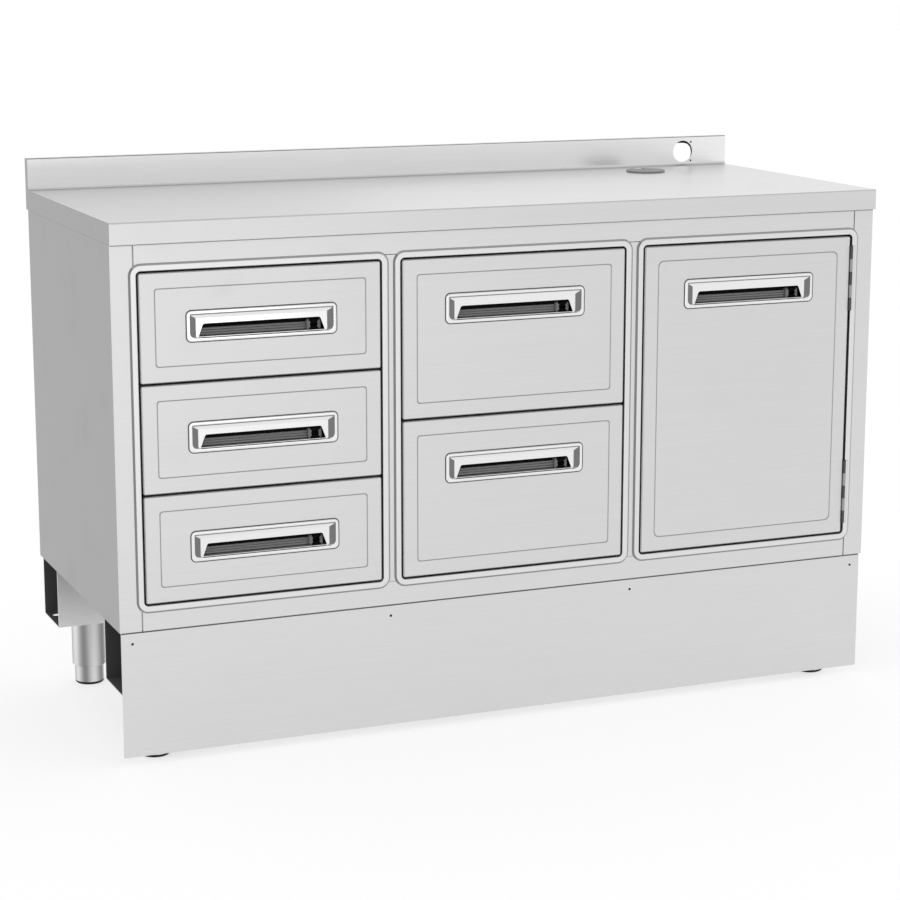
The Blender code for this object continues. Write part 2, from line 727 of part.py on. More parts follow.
def slide_heights(level, clearances):
    """Lower and upper limit of a slide member nested that many sheets and clearances deep."""
    drawn_in = clearances * (SLIDE_SHEET + SLIDE_CLEARANCE)
    return level + drawn_in, level + SLIDE_HEIGHT - drawn_in


def make_drawer(bay, row, front_z):
    """One drawer: front, pull, box with its inner slide members, and the two middle slide members."""
    name = f"{bay}_{row}"
    middle = BAYS[bay]
    half = OPENING_HALF - FRONT_GAP
    front_height = front_z[1] - front_z[0]
    below_top = front_height / 2 if bay == "left" else HANDLE_BELOW_TOP
    handle_at = (middle, front_z[1] - below_top)
    front_x = (middle - half, middle + half)
    front = make_front(f"{name}_drawer_front", front_x, front_z, DRAWER_GROOVE_CORNER, handle_at)
    handle = make_handle(f"{name}_drawer_handle", handle_at)
    box_x = (middle - BOX_HALF, middle + BOX_HALF)
    box_z = (front_z[0] + BOX_ABOVE_FRONT, front_z[1] - BOX_BELOW_FRONT)
    box = pan(f"{name}_drawer_box", box_x, (BOX_FRONT_Y, BOX_REAR_Y), box_z, "+Z", DRAWER_SHEET)
    level = box_z[0] + SLIDE_ABOVE_BOX
    slide_y = (SLIDE_FRONT_Y, SLIDE_REAR_Y)
    inner_members = []
    middle_members = []
    web_gap = SLIDE_SHEET + SLIDE_CLEARANCE
    for side in SIDES:
        sign = outward(side)
        middle_web = middle + sign * (RAIL_OUT - web_gap)
        middle_tip = middle + sign * (BOX_HALF + SLIDE_SIDE_GAP)
        outline = channel_outline(middle_tip, middle_web, *slide_heights(level, 1), SLIDE_SHEET)
        member = prism(f"{name}_slide_{side}", outline, "Y", *slide_y)
        middle_members.append(dress(member, PLAIN_STEEL))
        inner_web = middle + sign * (RAIL_OUT - 2 * web_gap)
        inner_tip = middle + sign * (BOX_HALF - DRAWER_SHEET / 2)
        outline = channel_outline(inner_tip, inner_web, *slide_heights(level, 2), SLIDE_SHEET)
        inner_members.append(prism("inner_member", outline, "Y", *slide_y))
    dress(join(box, *inner_members), PLAIN_STEEL)
    pivot(f"{name}_drawer_axis", (middle, FACE_Y, front_z[0]), [front, handle, box])
    pivot(f"{name}_slides_axis", (middle, SLIDE_FRONT_Y, level), middle_members)


def make_runner_frame(bay, side, levels):
    """Two posts on one side of a drawer bay with the fixed slide rails welded to them."""
    middle = BAYS[bay]
    sign = outward(side)
    if bay == side:
        wall = BODY_HALF - PANEL_SHEET - BAY_PITCH
    else:
        wall = PARTITION_X - PANEL_SHEET / 2
    post_web = middle + sign * (RAIL_OUT - SLIDE_SHEET / 2)
    post_inner = post_web + sign * POST_SHEET
    post_tip = middle + sign * (wall - SEAT_GAP)
    post_z = (FLOOR_TOP + SEAT_GAP, OPENING_TOP - POST_BELOW_OPENING)
    posts = []
    for post_y in (SLIDE_FRONT_Y + POST_FROM_END, SLIDE_REAR_Y - POST_FROM_END):
        low, high = post_y - POST_WIDTH / 2, post_y + POST_WIDTH / 2
        outline = [
            (post_tip, low),
            (post_web, low),
            (post_web, high),
            (post_tip, high),
            (post_tip, high - POST_SHEET),
            (post_inner, high - POST_SHEET),
            (post_inner, low + POST_SHEET),
            (post_tip, low + POST_SHEET),
        ]
        posts.append(prism("post", outline, "Z", *post_z))
    rails = []
    rail_web = middle + sign * RAIL_OUT
    rail_tip = middle + sign * (BOX_HALF + SLIDE_SIDE_GAP)
    for level in levels:
        outline = channel_outline(rail_tip, rail_web, *slide_heights(level, 0), SLIDE_SHEET)
        rails.append(prism("rail", outline, "Y", SLIDE_FRONT_Y, SLIDE_REAR_Y))
    frame = posts[0]
    frame.name = f"runner_frame_{bay}_{side}"
    dress(join(frame, *rails, posts[1]), PLAIN_STEEL)


def make_drawer_bays():
    """Drawers from top to bottom in the left and centre bays, with the frames that carry their slides."""
    for bay, rows in DRAWER_ROWS.items():
        count = len(rows)
        height = (FRONTS_TOP - FRONTS_BOTTOM - (count - 1) * DRAWER_GAP) / count
        levels = []
        for i, row in enumerate(rows):
            top = FRONTS_TOP - i * (height + DRAWER_GAP)
            make_drawer(bay, row, (top - height, top))
            levels.append(top - height + BOX_ABOVE_FRONT + SLIDE_ABOVE_BOX)
        for side in SIDES:
            make_runner_frame(bay, side, levels)


def hinge_axis():
    """Place of the door's hinge axis in X and Y: in the gap, just proud of the fronts."""
    return BAYS["right"] + OPENING_HALF - HINGE_GAP / 2, FACE_Y - HINGE_PROUD


def knuckle_spans(low):
    """Lower and upper end of each knuckle of a hinge."""
    pitch = HINGE_LENGTH / KNUCKLE_COUNT
    spans = []
    for i in range(KNUCKLE_COUNT):
        start = low + i * pitch
        spans.append((start + KNUCKLE_GAP / 2, start + pitch - KNUCKLE_GAP / 2))
    return spans


def leaf_outline(reach, spans, own):
    """Outline of a hinge leaf, from its axis out, with tongues to its own knuckles and notches elsewhere."""
    clear = KNUCKLE_RADIUS + KNUCKLE_GAP
    outline = [(reach, spans[0][0]), (clear, spans[0][0])]
    for i in own:
        low, high = spans[i]
        if i > 0:
            outline.append((clear, low))
        else:
            outline.pop()
        outline += [(0, low), (0, high)]
        if i < KNUCKLE_COUNT - 1:
            outline.append((clear, high))
    if KNUCKLE_COUNT - 1 not in own:
        outline.append((clear, spans[-1][1]))
    outline.append((reach, spans[-1][1]))
    return outline


def make_hinge(name, low):
    """Butt hinge: a leaf with the pin on the bay frame's face, and a bored one on the door's edge."""
    axis_x, axis_y = hinge_axis()
    spans = knuckle_spans(low)
    frame_own = range(0, KNUCKLE_COUNT, 2)
    door_own = range(1, KNUCKLE_COUNT, 2)
    profile = []
    for i, (start, end) in enumerate(spans):
        radius = KNUCKLE_RADIUS if i in frame_own else PIN_RADIUS
        if i in door_own:
            start -= KNUCKLE_GAP
            end += KNUCKLE_GAP
        profile += [(radius, start), (radius, end)]
    frame_leaf = turned(f"{name}_frame_leaf", (axis_x, axis_y), profile, steps=SMALL_ROUND_STEPS)
    frame_outline = [(axis_x + out, z) for out, z in leaf_outline(FRAME_LEAF_REACH, spans, frame_own)]
    leaf_y = FACE_Y - SEAT_GAP
    plate = prism("plate", frame_outline, "Y", leaf_y - LEAF_SHEET, leaf_y)
    dress(join(frame_leaf, plate), BRUSHED_STEEL)

    leaf_x = axis_x - HINGE_GAP / 2 + SEAT_GAP
    door_outline = [(axis_y + out, z) for out, z in leaf_outline(DOOR_LEAF_REACH, spans, door_own)]
    door_leaf = prism(f"{name}_door_leaf", door_outline, "X", leaf_x, leaf_x + LEAF_SHEET)
    knuckles = []
    for i in door_own:
        profile = [(KNUCKLE_RADIUS, spans[i][0]), (KNUCKLE_RADIUS, spans[i][1])]
        knuckles.append(turned("knuckle", (axis_x, axis_y), profile, steps=SMALL_ROUND_STEPS))
    join(door_leaf, *knuckles)
    facet_room = 1 / math.cos(math.pi / SMALL_ROUND_STEPS)
    bore_radius = (PIN_RADIUS + PIN_CLEARANCE) * facet_room
    bore_profile = [(bore_radius, low - CUT_MARGIN), (bore_radius, low + HINGE_LENGTH + CUT_MARGIN)]
    bore = turned("bore", (axis_x, axis_y), bore_profile, steps=SMALL_ROUND_STEPS)
    return dress(cut(door_leaf, bore), BRUSHED_STEEL)


def make_door():
    """Hinged door of the right bay with its pull and two butt hinges."""
    middle = BAYS["right"]
    x = (middle - OPENING_HALF + FRONT_GAP, middle + OPENING_HALF - HINGE_GAP)
    handle_at = (middle, FRONTS_TOP - HANDLE_BELOW_TOP)
    door = make_front("door_panel", x, (FRONTS_BOTTOM, FRONTS_TOP), DOOR_GROOVE_CORNER, handle_at)
    handle = make_handle("door_handle", handle_at)
    upper = make_hinge("hinge_upper", FRONTS_TOP - HINGE_FROM_END - HINGE_LENGTH)
    lower = make_hinge("hinge_lower", FRONTS_BOTTOM + HINGE_FROM_END)
    pivot("door_axis", (*hinge_axis(), FRONTS_BOTTOM), [door, handle, upper, lower])


def base_rail_outline(low_y):
    """Outline of a base rail in Y and Z: a channel with lips at its open top."""
    high_y = low_y + BASE_RAIL_WIDTH
    sheet = BASE_RAIL_SHEET
    low, high = BASE_RAIL_BOTTOM, BASE_TOP
    return [
        (low_y, low),
        (high_y, low),
        (high_y, high),
        (high_y - BASE_RAIL_LIP, high),
        (high_y - BASE_RAIL_LIP, high - sheet),
        (high_y - sheet, high - sheet),
        (high_y - sheet, low + sheet),
        (low_y + sheet, low + sheet),
        (low_y + sheet, high - sheet),
        (low_y + BASE_RAIL_LIP, high - sheet),
        (low_y + BASE_RAIL_LIP, high),
        (low_y, high),
    ]


def make_base():
    """Plinth, two base rails and four legs with feet that screw out."""
    sheet = PLINTH_SHEET
    plinth_top = BODY_BOTTOM - PLINTH_TOP_GAP
    plinth_outline = [
        (PLINTH_Y, PLINTH_LIFT),
        (PLINTH_Y + PLINTH_HEM, PLINTH_LIFT),
        (PLINTH_Y + PLINTH_HEM, PLINTH_LIFT + sheet),
        (PLINTH_Y + sheet, PLINTH_LIFT + sheet),
        (PLINTH_Y + sheet, plinth_top),
        (PLINTH_Y, plinth_top),
    ]
    dress(prism("plinth", plinth_outline, "X", -BASE_HALF, BASE_HALF), BRUSHED_STEEL)
    front_rail = prism("base_rail_front", base_rail_outline(FRONT_RAIL_Y), "X", -BASE_HALF, BASE_HALF)
    dress(front_rail, BRUSHED_STEEL)
    rear_rail = prism("base_rail_rear", base_rail_outline(REAR_RAIL_Y), "X", -BASE_HALF, BASE_HALF)
    holes = []
    hole_z = (BASE_RAIL_BOTTOM - CUT_MARGIN, BASE_RAIL_BOTTOM + BASE_RAIL_SHEET + CUT_MARGIN)
    hole_y = REAR_RAIL_Y + BASE_RAIL_WIDTH - BOLT_HOLE_FROM_REAR
    for side in SIDES:
        centre = (outward(side) * (BASE_HALF - BOLT_HOLE_FROM_END), hole_y)
        profile = [(BOLT_HOLE_RADIUS, hole_z[0]), (BOLT_HOLE_RADIUS, hole_z[1])]
        holes.append(turned("bolt_hole", centre, profile, steps=SMALL_ROUND_STEPS))
    dress(cut(rear_rail, *holes), BRUSHED_STEEL)
    rail_middles = {"front": FRONT_RAIL_Y + BASE_RAIL_WIDTH / 2, "rear": REAR_RAIL_Y + BASE_RAIL_WIDTH / 2}
    for end, y in rail_middles.items():
        for side in SIDES:
            make_leg(f"{end}_{side}", (outward(side) * (WIDTH / 2 - LEG_FROM_END), y))


def make_leg(name, centre):
    """Tubular leg under a base rail and the foot that slides in its collar."""
    top = BASE_RAIL_BOTTOM - SEAT_GAP
    bore = LEG_RADIUS - LEG_WALL
    collar = FOOT_RADIUS + SEAT_GAP
    collar_top = FOOT_SHOW + LEG_COLLAR
    leg_profile = [
        (bore, top - LEG_TOP_PLATE),
        (bore, collar_top),
        (collar, collar_top),
        (collar, FOOT_SHOW),
        (LEG_RADIUS, FOOT_SHOW),
        (LEG_RADIUS, top),
    ]
    dress(turned(f"leg_{name}", centre, leg_profile), BRUSHED_STEEL)
    foot_bore = FOOT_RADIUS - FOOT_WALL
    foot_top = FOOT_SHOW + FOOT_ENGAGEMENT
    foot_profile = [
        (foot_bore, FOOT_SOLE_THICKNESS),
        (foot_bore, foot_top),
        (FOOT_RADIUS, foot_top),
        (FOOT_RADIUS, FOOT_SOLE_HEIGHT),
        (FOOT_SOLE_RADIUS, 0.0),
    ]
    foot = dress(turned(f"foot_{name}", centre, foot_profile), BRUSHED_STEEL)
    pivot(f"foot_{name}_axis", (*centre, 0.0), [foot])


def main():
    """Build the cabinet."""
    clear_scene()
    make_worktop()
    make_grommet()
    make_side_panels()
    make_body_panels()
    make_partitions()
    make_bay_frames()
    make_drawer_bays()
    make_door()
    make_base()


main()
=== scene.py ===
"""Looks of a stainless steel back bar cabinet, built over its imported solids.

Metres, +Z up, fronts towards -Y, origin on the floor under the middle of the cabinet.
"""

import json
import logging
import math
from collections.abc import Callable, Iterable, Sequence
from dataclasses import dataclass
from enum import Enum
from functools import cache

import bmesh
import bpy
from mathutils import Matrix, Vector


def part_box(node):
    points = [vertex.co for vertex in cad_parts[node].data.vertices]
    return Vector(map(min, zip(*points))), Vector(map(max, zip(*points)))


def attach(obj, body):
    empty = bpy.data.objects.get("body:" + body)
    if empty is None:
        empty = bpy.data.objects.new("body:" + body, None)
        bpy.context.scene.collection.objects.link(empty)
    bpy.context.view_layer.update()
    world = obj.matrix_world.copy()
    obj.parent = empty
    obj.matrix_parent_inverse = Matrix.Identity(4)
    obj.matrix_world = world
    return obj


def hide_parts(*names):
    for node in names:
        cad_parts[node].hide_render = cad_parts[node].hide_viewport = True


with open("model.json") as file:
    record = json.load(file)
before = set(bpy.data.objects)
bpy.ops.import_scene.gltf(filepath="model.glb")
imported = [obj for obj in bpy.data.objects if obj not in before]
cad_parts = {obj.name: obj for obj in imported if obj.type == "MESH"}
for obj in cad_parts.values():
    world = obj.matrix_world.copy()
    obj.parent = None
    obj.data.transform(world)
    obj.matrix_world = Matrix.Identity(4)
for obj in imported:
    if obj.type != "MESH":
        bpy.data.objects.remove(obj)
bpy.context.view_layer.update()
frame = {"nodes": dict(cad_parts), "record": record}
LOG = logging.getLogger("back_bar_cabinet")

Colour = tuple[float, float, float]
Point = tuple[float, float, float]
Span = tuple[float, float]
Socket = bpy.types.NodeSocket
Sockets = bpy.types.bpy_prop_collection
Values = dict[str | int, object]

BODY_OF = {node: body for body, nodes in frame["record"]["behaviour"]["bodies"].items() for node in nodes}
SLOT_OF = {entry["node"]: entry["material_slot"] for entry in frame["record"]["subparts"]}
FIXED_STEEL = ("cabinet", "body_steel")
SIDES = ("left", "right")

SEAT_GAP = 0.0003
FACE_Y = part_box("door_panel")[0].y
FLANGE_Y = FACE_Y - SEAT_GAP
SLIDE_EDGE = 0.0003
WELD_DISTANCE = 1e-5
PICK_MARGIN = 0.0002
FACING = 0.5
FLAT_ANGLE = math.radians(0.6)
SMOOTH_ANGLE = math.radians(35)
SQUARE_ANGLE = math.radians(70)
GRAIN_CONTRAST = 1.5
GRAIN_DEPTH = 0.0005
CLOUD_SHARE = 0.35
WEAR_POLISH = 0.05
WHITE = (1.0, 1.0, 1.0, 1.0)


class Grain(Enum):
    """Direction of a brushed finish, as noise cycles per metre on each axis."""

    ALONG_X = (5.0, 260.0, 260.0)
    ALONG_Y = (260.0, 5.0, 260.0)
    ALONG_Z = (260.0, 260.0, 5.0)
    EVEN = (320.0, 320.0, 320.0)
    TUBE = (42.0, 42.0, 0.6)


class NodeTree:
    """Short way to add and link nodes in any node tree."""

    def __init__(self, tree: bpy.types.NodeTree) -> None:
        """Work on a tree.

        Args:
            tree: Shader or geometry node tree.
        """
        self.tree = tree

    def fill(self, node: bpy.types.Node, values: Values) -> None:
        """Set or link a node's inputs.

        Args:
            node: Node of the tree.
            values: Numbers, colours or sockets, by the name or number of their input.
        """
        for key, value in values.items():
            if isinstance(value, Socket):
                self.tree.links.new(value, node.inputs[key])
            else:
                node.inputs[key].default_value = value

    def add(self, kind: str, values: Values | None = None, **settings: object) -> bpy.types.Node:
        """Add a node and set its properties and inputs.

        Args:
            kind: Blender's name of the node type.
            values: Numbers, colours or sockets, by the name or number of their input.
            settings: Properties of the node.

        Returns:
            The new node.
        """
        node = self.tree.nodes.new(kind)
        for key, value in settings.items():
            setattr(node, key, value)
        self.fill(node, values or {})
        return node

    def math(self, operation: str, *terms: object, clamp: bool = False) -> Socket:
        """Add a Math node.

        Args:
            operation: Blender's name of the operation.
            terms: Sockets or numbers, in the order of the node's inputs.
            clamp: Whether the result stays between 0 and 1.

        Returns:
            The node's output.
        """
        node = self.add("ShaderNodeMath", dict(enumerate(terms)), operation=operation, use_clamp=clamp)
        return node.outputs[0]

    def mix(self, factor: Socket, first: object, second: object) -> Socket:
        """Add a Mix node for colours and give its output."""
        node = self.add("ShaderNodeMix", {"Factor": factor, "A": first, "B": second}, data_type="RGBA")
        return node.outputs["Result"]


class SurfaceEffects:
    """Shared shader groups: brushed grain, marks of handling, and wear along edges."""

    def __init__(self) -> None:
        """Build the three groups."""
        self.grain = self._grain()
        self.marks = self._marks()
        self.wear = self._wear()

    @staticmethod
    def _group(
        name: str, inputs: dict[str, object], outputs: Sequence[str]
    ) -> tuple[NodeTree, Sockets, bpy.types.Node, Socket]:
        """Start a shader group with named sockets.

        Args:
            name: Name of the group.
            inputs: Default number or vector of each input, by name.
            outputs: Names of the value outputs.

        Returns:
            The group, its given inputs, its output node, and the place on the piece.
        """
        tree = bpy.data.node_groups.new(name, "ShaderNodeTree")
        for key, value in inputs.items():
            kind = "NodeSocketFloat" if isinstance(value, float) else "NodeSocketVector"
            tree.interface.new_socket(key, in_out="INPUT", socket_type=kind).default_value = value
        for key in outputs:
            tree.interface.new_socket(key, in_out="OUTPUT", socket_type="NodeSocketFloat")
        group = NodeTree(tree)
        place = group.add("ShaderNodeTexCoord").outputs["Object"]
        return group, group.add("NodeGroupInput").outputs, group.add("NodeGroupOutput"), place

    def _grain(self) -> bpy.types.NodeTree:
        """Make the fine streaks of a brushed sheet, with slow changes of tone along it.

        Returns:
            The group's tree.
        """
        inputs = {"Cycles": Grain.ALONG_X.value, "Contrast": 1.0}
        group, given, made, place = self._group("brushed_grain", inputs, ("Grain", "Cloud"))
        stretched = group.add("ShaderNodeVectorMath", {0: place, 1: given["Cycles"]}, operation="MULTIPLY")
        streaks = group.add("ShaderNodeTexNoise", {
            "Vector": stretched.outputs[0], "Scale": 1.0, "Detail": 3.0, "Roughness": 0.65,
        })
        centred = group.math("SUBTRACT", streaks.outputs["Fac"], 0.5)
        scaled = group.math("MULTIPLY", centred, given["Contrast"])
        cloud = group.add("ShaderNodeTexNoise", {"Vector": place, "Scale": 2.2, "Detail": 2.0})
        streak = group.math("ADD", scaled, 0.5, clamp=True)
        group.fill(made, {"Grain": streak, "Cloud": cloud.outputs["Fac"]})
        return group.tree

    def _marks(self) -> bpy.types.NodeTree:
        """Make the soft patches where hands and cloths have passed.

        Returns:
            The group's tree.
        """
        group, given, made, place = self._group("handling_marks", {"Patches": 9.0, "Cover": 0.45}, ("Mask",))
        patch = group.add("ShaderNodeTexNoise", {
            "Vector": place, "Scale": given["Patches"], "Detail": 4.0, "Distortion": 0.6,
        })
        limit = group.math("SUBTRACT", 1.0, given["Cover"])
        over = group.math("SUBTRACT", patch.outputs["Fac"], limit)
        group.fill(made, {"Mask": group.math("MULTIPLY", over, 4.0, clamp=True)})
        return group.tree

    def _wear(self) -> bpy.types.NodeTree:
        """Make the broken line of polished metal where an edge is rubbed.

        Returns:
            The group's tree.
        """
        group, given, made, place = self._group("edge_wear", {"Edge": 0.0, "Breaks": 60.0}, ("Mask",))
        breaks = group.add("ShaderNodeTexNoise", {"Vector": place, "Scale": given["Breaks"], "Detail": 3.0})
        ramp = group.math("MULTIPLY_ADD", breaks.outputs["Fac"], 1.6, -0.2)
        group.fill(made, {"Mask": group.math("MULTIPLY", given["Edge"], ramp, clamp=True)})
        return group.tree


EFFECTS = SurfaceEffects()


@dataclass(frozen=True)
class Finish:
    """Surface of one kind of piece.

    Attributes:
        name: Name of the material.
        colour: Base colour.
        roughness: Middle roughness.
        metallic: Metallic value.
        grain: Direction of the grain.
        streak: How much the grain changes the tone.
        relief: Depth of the grain as bump strength.
        marked: How much the grain and marks of handling change the roughness.
        edge: How much lighter a rubbed edge is.
        specular: Specular level of a finish that is not metal.
        painted_reflection_and_shade: How much darker the painted dark bands of a polished tube are, as
            painted reflections, or the painted shade along the upper edge of a rail.
    """

    name: str
    colour: Colour
    roughness: float
    metallic: float = 1.0
    grain: Grain = Grain.ALONG_X
    streak: float = 0.05
    relief: float = 0.04
    marked: float = 0.06
    edge: float = 0.12
    specular: float = 0.5
    painted_reflection_and_shade: float = 0.0

    def _tint(self, factor: float) -> tuple[float, ...]:
        """Give the base colour, made lighter or darker, with its alpha."""
        return (*(min(1.0, value * factor) for value in self.colour), 1.0)

    @cache
    def material(self) -> bpy.types.Material:
        """Make the material, or give the one already made.

        Returns:
            The Blender material.
        """
        material = bpy.data.materials.new(f"{self.name}_look")
        material.use_nodes = True
        tree = NodeTree(material.node_tree)
        brushing = {"Cycles": self.grain.value, "Contrast": GRAIN_CONTRAST}
        grain = tree.add("ShaderNodeGroup", brushing, node_tree=EFFECTS.grain).outputs
        marks = tree.add("ShaderNodeGroup", node_tree=EFFECTS.marks).outputs["Mask"]
        rim = tree.add("ShaderNodeAttribute", attribute_name="edge_wear").outputs["Fac"]
        wear = tree.add("ShaderNodeGroup", {"Edge": rim}, node_tree=EFFECTS.wear).outputs["Mask"]
        tone = tree.math("MULTIPLY", grain["Cloud"], CLOUD_SHARE)
        tone = tree.math("ADD", tone, tree.math("MULTIPLY", grain["Grain"], 1 - CLOUD_SHARE))
        colour = tree.mix(tone, self._tint(1 - self.streak), self._tint(1 + self.streak))
        # Painted reflections as dark bands on tubes, and painted shade towards a rail's upper edge, read
        # from the painted_light_level attribute.
        if self.painted_reflection_and_shade:
            light = tree.add("ShaderNodeAttribute", attribute_name="painted_light_level").outputs["Fac"]
            colour = tree.mix(light, self._tint(1 - self.painted_reflection_and_shade), colour)
        colour = tree.mix(wear, colour, self._tint(1 + self.edge))
        rough = tree.math("MULTIPLY_ADD", grain["Grain"], self.marked, self.roughness - self.marked / 2)
        rough = tree.math("ADD", rough, tree.math("MULTIPLY", marks, self.marked))
        rough = tree.math("SUBTRACT", rough, tree.math("MULTIPLY", wear, WEAR_POLISH), clamp=True)
        bump = tree.add("ShaderNodeBump", {
            "Strength": self.relief, "Distance": GRAIN_DEPTH, "Height": grain["Grain"],
        })
        tree.fill(material.node_tree.nodes["Principled BSDF"], {
            "Base Color": colour,
            "Metallic": self.metallic,
            "Roughness": rough,
            "Specular IOR Level": self.specular,
            "Normal": bump.outputs["Normal"],
        })
        return material


FacePicker = Callable[[Vector, Vector], Finish]


def grey(value: float) -> Colour:
    """Give a neutral colour."""
    return (value, value, value)


UPSTAND_STEEL = Finish("upstand_steel", grey(0.835), 0.26, marked=0.015)
COVE_STEEL = Finish("cove_steel", grey(0.73), 0.28)
WORKTOP_STEEL = Finish("worktop_steel", grey(0.665), 0.40)
TOP_STEEL = Finish("top_steel", grey(0.71), 0.32)
BODY_STEEL = Finish("body_steel", grey(0.685), 0.42)
# Sides and ends: the same steel painted darker, as painted shade for the faces turned away from the light.
SIDE_STEEL_PAINTED_SHADE = Finish("side_steel_painted_shade", grey(0.382), 0.45, grain=Grain.ALONG_Y)
FRONT_STEEL = Finish("front_steel", grey(0.67), 0.42)
GROOVE_PAINTED_SHADE = Finish("groove_painted_shade", grey(0.36), 0.50, grain=Grain.EVEN, edge=0.0)
FRAME_STEEL = Finish("frame_steel", grey(0.73), 0.38, grain=Grain.EVEN)
BORDER_PAINTED_FAINT_SHADE = Finish("border_painted_faint_shade", grey(0.47), 0.48, grain=Grain.EVEN, edge=0.0)
BORDER_PAINTED_HALF_SHADE = Finish("border_painted_half_shade", grey(0.34), 0.48, grain=Grain.EVEN, edge=0.0)
BORDER_PAINTED_DEEP_SHADE = Finish("border_painted_deep_shade", grey(0.25), 0.48, grain=Grain.EVEN, edge=0.0)
SHADE_STEEL = Finish("shade_steel", grey(0.05), 0.55, grain=Grain.EVEN, edge=0.0)
INNER_STEEL = Finish("inner_steel", grey(0.62), 0.46, grain=Grain.EVEN, edge=0.05)
SLIDE_STEEL = Finish("slide_steel", (0.60, 0.60, 0.61), 0.35, grain=Grain.ALONG_Y, edge=0.05)
PULL_CHROME = Finish("pull_chrome", grey(0.81), 0.16, streak=0.02, relief=0.01)
CHEEK_GREY = Finish("cheek_grey", grey(0.26), 0.55, 0.0, Grain.EVEN, edge=0.1, specular=0.3)
LIP_PAINTED_SHADE = Finish("lip_painted_shade", grey(0.24), 0.40, grain=Grain.EVEN, edge=0.1)
CUP_GREY = Finish("cup_grey", grey(0.34), 0.55, 0.0, Grain.EVEN, edge=0.1, specular=0.2)
CUP_SHADE = Finish("cup_shade", grey(0.006), 0.70, 0.0, Grain.EVEN, specular=0.05)
SEAL_PAINTED_SHADE = Finish("seal_painted_shade", grey(0.10), 0.60, 0.0, Grain.EVEN, relief=0.1, specular=0.2)
JOINT_BEAD_PAINTED_SHADE = Finish("joint_bead_painted_shade", grey(0.75), 0.70, 0.0, Grain.EVEN, specular=0.2)
HINGE_STEEL = Finish("hinge_steel", grey(0.66), 0.34, grain=Grain.ALONG_Z)
KNUCKLE_PAINTED_SHADE = Finish("knuckle_painted_shade", grey(0.09), 0.45, grain=Grain.ALONG_Z)
DOOR_KNUCKLE_PAINTED_SHADE = Finish("door_knuckle_painted_shade", grey(0.34), 0.42, grain=Grain.ALONG_Z)
LEG_STEEL_PAINTED_REFLECTIONS = Finish("leg_steel", grey(0.76), 0.30, grain=Grain.TUBE, streak=0.06, painted_reflection_and_shade=0.68)
RAIL_STEEL_PAINTED_SHADE = Finish("rail_steel_painted_shade", grey(0.80), 0.45, painted_reflection_and_shade=0.40)
RAIL_SHADE = Finish("rail_shade", grey(0.09), 0.60, 0.0, Grain.EVEN, specular=0.2)
SOLE_RUBBER = Finish("sole_rubber", grey(0.018), 0.70, 0.0, Grain.EVEN, relief=0.2, specular=0.2)
GROMMET_PLASTIC = Finish("grommet_plastic", grey(0.36), 0.60, 0.0, Grain.EVEN, relief=0.12, edge=0.1)
SCREW_STEEL = Finish("screw_steel", grey(0.03), 0.45, grain=Grain.EVEN)


def weld(mesh: bpy.types.Mesh, flatten: bool = True) -> None:
    """Merge a mesh's doubled points and make its flat faces whole.

    Args:
        mesh: Mesh that is changed.
        flatten: Whether faces in one plane become one face.
    """
    bm = bmesh.new()
    bm.from_mesh(mesh)
    bmesh.ops.remove_doubles(bm, verts=bm.verts, dist=WELD_DISTANCE)
    if flatten:
        bmesh.ops.dissolve_limit(bm, angle_limit=FLAT_ANGLE, verts=bm.verts, edges=bm.edges)
    bm.to_mesh(mesh)
    bm.free()


def smooth(mesh: bpy.types.Mesh) -> None:
    """Shade a mesh smooth, apart from its sharp edges."""
    mesh.shade_smooth()
    mesh.set_sharp_from_angle(angle=SMOOTH_ANGLE)


def link_object(name: str, mesh: bpy.types.Mesh) -> bpy.types.Object:
    """Put a mesh into the scene.

    Args:
        name: Name of the piece.
        mesh: Its mesh, already in place.

    Returns:
        The object at the origin.
    """
    obj = bpy.data.objects.new(name, mesh)
    bpy.context.scene.collection.objects.link(obj)
    return obj


def link_shape(name: str, bm: bmesh.types.BMesh) -> bpy.types.Object:
    """Turn an edited mesh into an object and free it.

    Args:
        name: Name of the piece.
        bm: Its edited mesh.

    Returns:
        The object at the origin.
    """
    mesh = bpy.data.meshes.new(name)
    bm.to_mesh(mesh)
    bm.free()
    return link_object(name, mesh)


def copy_solid(node: str) -> bpy.types.Object:
    """Make a welded copy of a solid.

    Args:
        node: Solid to copy.

    Returns:
        The copy, not yet dressed.
    """
    mesh = frame["nodes"][node].data.copy()
    weld(mesh)
    return link_object(f"{node}_dressed", mesh)


def bake(obj: bpy.types.Object) -> bpy.types.Object:
    """Turn an object's modifiers into plain mesh.

    Args:
        obj: Object with live modifiers.

    Returns:
        The same object.
    """
    bpy.context.view_layer.update()
    graph = bpy.context.evaluated_depsgraph_get()
    mesh = bpy.data.meshes.new_from_object(obj.evaluated_get(graph))
    obj.modifiers.clear()
    obj.data = mesh
    return obj


